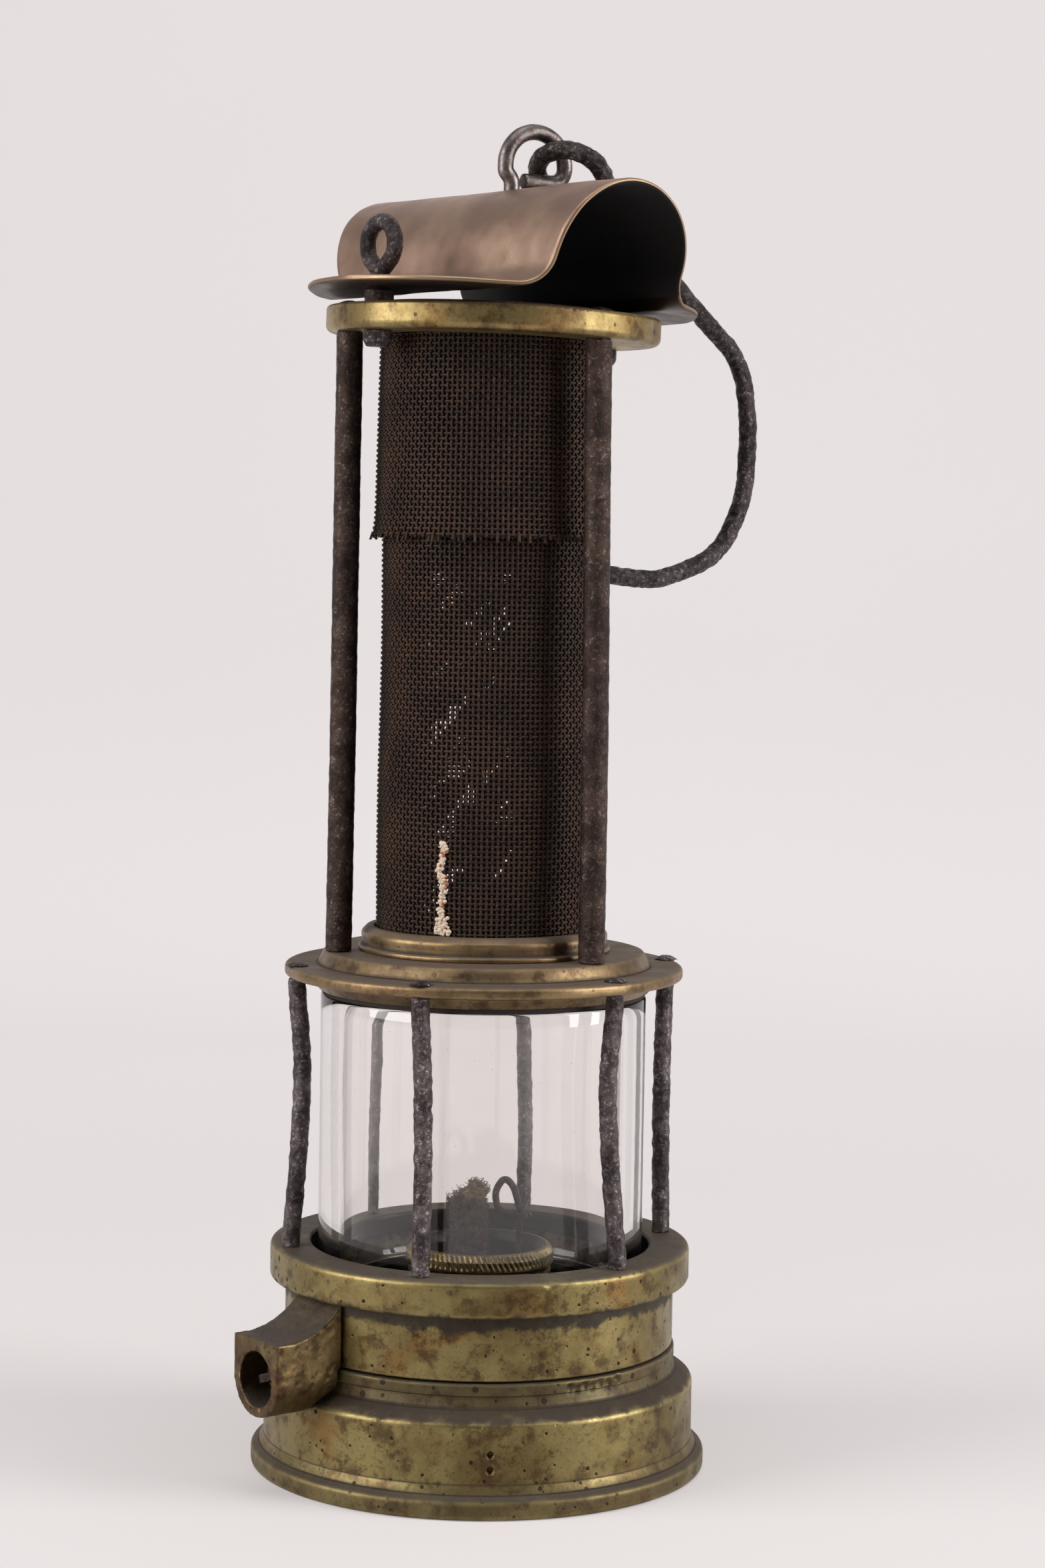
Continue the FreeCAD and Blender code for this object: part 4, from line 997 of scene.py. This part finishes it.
def make_stage():
    """Floor that curves up into a backdrop."""
    width, front, back, height, bend = 1500.0, -1400.0, 900.0, 1600.0, 350.0
    profile = [(front, 0.0), (back - bend, 0.0)]
    for k in range(1, 13):
        turn = math.pi / 2 * k / 12
        profile.append((back - bend + bend * math.sin(turn), bend - bend * math.cos(turn)))
    profile.append((back, height))
    verts, faces = [], []
    for y, z in profile:
        verts += [(-width * MM, y * MM, z * MM), (width * MM, y * MM, z * MM)]
    for i in range(len(profile) - 1):
        faces.append((2 * i, 2 * i + 1, 2 * i + 3, 2 * i + 2))
    new_piece("floor", verts, faces, stage_material())


def area_light(name, place, target, size, power, colour=(1, 1, 1)):
    light = bpy.data.lights.new(name, "AREA")
    light.shape = "RECTANGLE"
    light.size, light.size_y = size[0] * MM, size[1] * MM
    light.energy = power
    light.color = colour
    lamp = bpy.data.objects.new(name, light)
    lamp.location = Vector(place) * MM
    lamp.rotation_euler = (Vector(target) - Vector(place)).to_track_quat("-Z", "Y").to_euler()
    bpy.context.scene.collection.objects.link(lamp)


def make_lights():
    aim = (0, 0, 120)
    area_light("left_window", (-900, -380, 480), aim, (700, 900), 11, (1.0, 0.985, 0.97))
    area_light("right_window", (950, -250, 420), aim, (500, 900), 11, (1.0, 0.99, 0.98))
    area_light("overhead", (60, -150, 1100), aim, (900, 700), 6)
    world = bpy.data.worlds.new("studio")
    world.use_nodes = True
    background = world.node_tree.nodes["Background"]
    background.inputs["Color"].default_value = (0.95, 0.95, 0.97, 1)
    background.inputs["Strength"].default_value = 0.1
    bpy.context.scene.world = world


def make_camera():
    """At the height of the gauze, a little right of the lamp, looking slightly down."""
    pitch, roll = math.radians(4.05), math.radians(0.885)
    right = Vector((1, 0, 0))
    forward = Vector((0, math.cos(pitch), -math.sin(pitch)))
    up = right.cross(forward)
    rolled_right = right * math.cos(roll) + up * math.sin(roll)
    rolled_up = up * math.cos(roll) - right * math.sin(roll)
    camera = bpy.data.cameras.new("camera")
    camera.sensor_fit = "VERTICAL"
    camera.sensor_height = 36.0
    camera.lens = 78.44
    camera.clip_start = 0.01
    camera.clip_end = 20.0
    holder = bpy.data.objects.new("camera", camera)
    rotation = Matrix((rolled_right, rolled_up, -forward)).transposed().to_4x4()
    holder.matrix_world = Matrix.Translation(Vector((6.9, -655.5, 178.3)) * MM) @ rotation
    bpy.context.scene.collection.objects.link(holder)
    bpy.context.scene.camera = holder


# ---------------------------------------------------------------- put the lamp together
def dress_lamp():
    make_vessel()
    make_lower_ring()
    make_middle_plate()
    make_burner_ring()
    make_glass()
    make_gauzes()
    make_hood()
    make_wick()
    make_deposit()
    for i in range(1, 7):
        worn("guard_pillar_%d" % i, CAGE, PILLAR_IRON, 0.35, 0.34, 1.8, 0.16, 1, seed=5.0 * i)
    for i in range(1, 4):
        worn("upper_post_%d" % i, CAGE, POST_IRON, 0.4, 0.16, 2.2, 0.08, 1, seed=9.0 * i)
    worn("hook", "hook", HOOK_IRON, 0.32, 0.3, 1.5, 0.28, 1, seed=2.0)
    worn("hanging_eye", "hanging_eye", EYE_STEEL, 0.25, 0.06, 2.0, 0.0, 1, seed=3.0)
    for i, node in enumerate(("near_eyebolt", "far_eyebolt")):
        worn(node, CAGE, HOOK_IRON, 0.28, 0.12, 1.6, 0.1, 1, seed=30.0 + i)
    for node in ("near_spacer", "far_spacer"):
        worn(node, CAGE, POST_IRON, 0.3, 0.1, 1.5)
    worn("lock_barrel", CAGE, DARK_BRASS, 0.3, 0.12, 3.0, 0.1, 3)
    worn("lock_bolt", "lock_bolt", POST_IRON, 0.25, 0.1, 1.5)
    dress(PLATE_BRASS, "top_plate")
    dress(TOP_BRASS, "glass_seat", "burner_socket", "wick_tube", "pricker_tube")
    dress(SOOTY_BRASS, "glass_ring", "burner_plate")
    dress(DARK_BRASS, "vessel_bottom")
    dress(POST_IRON, "eye_washer", "pricker")
    dress(WIRE, "gauze_crown")
    dress(LEATHER, "vessel_washer", "lower_gasket", "upper_gasket")


dress_lamp()
make_stage()
make_lights()
make_camera()
bpy.context.scene.view_settings.view_transform = "Standard"
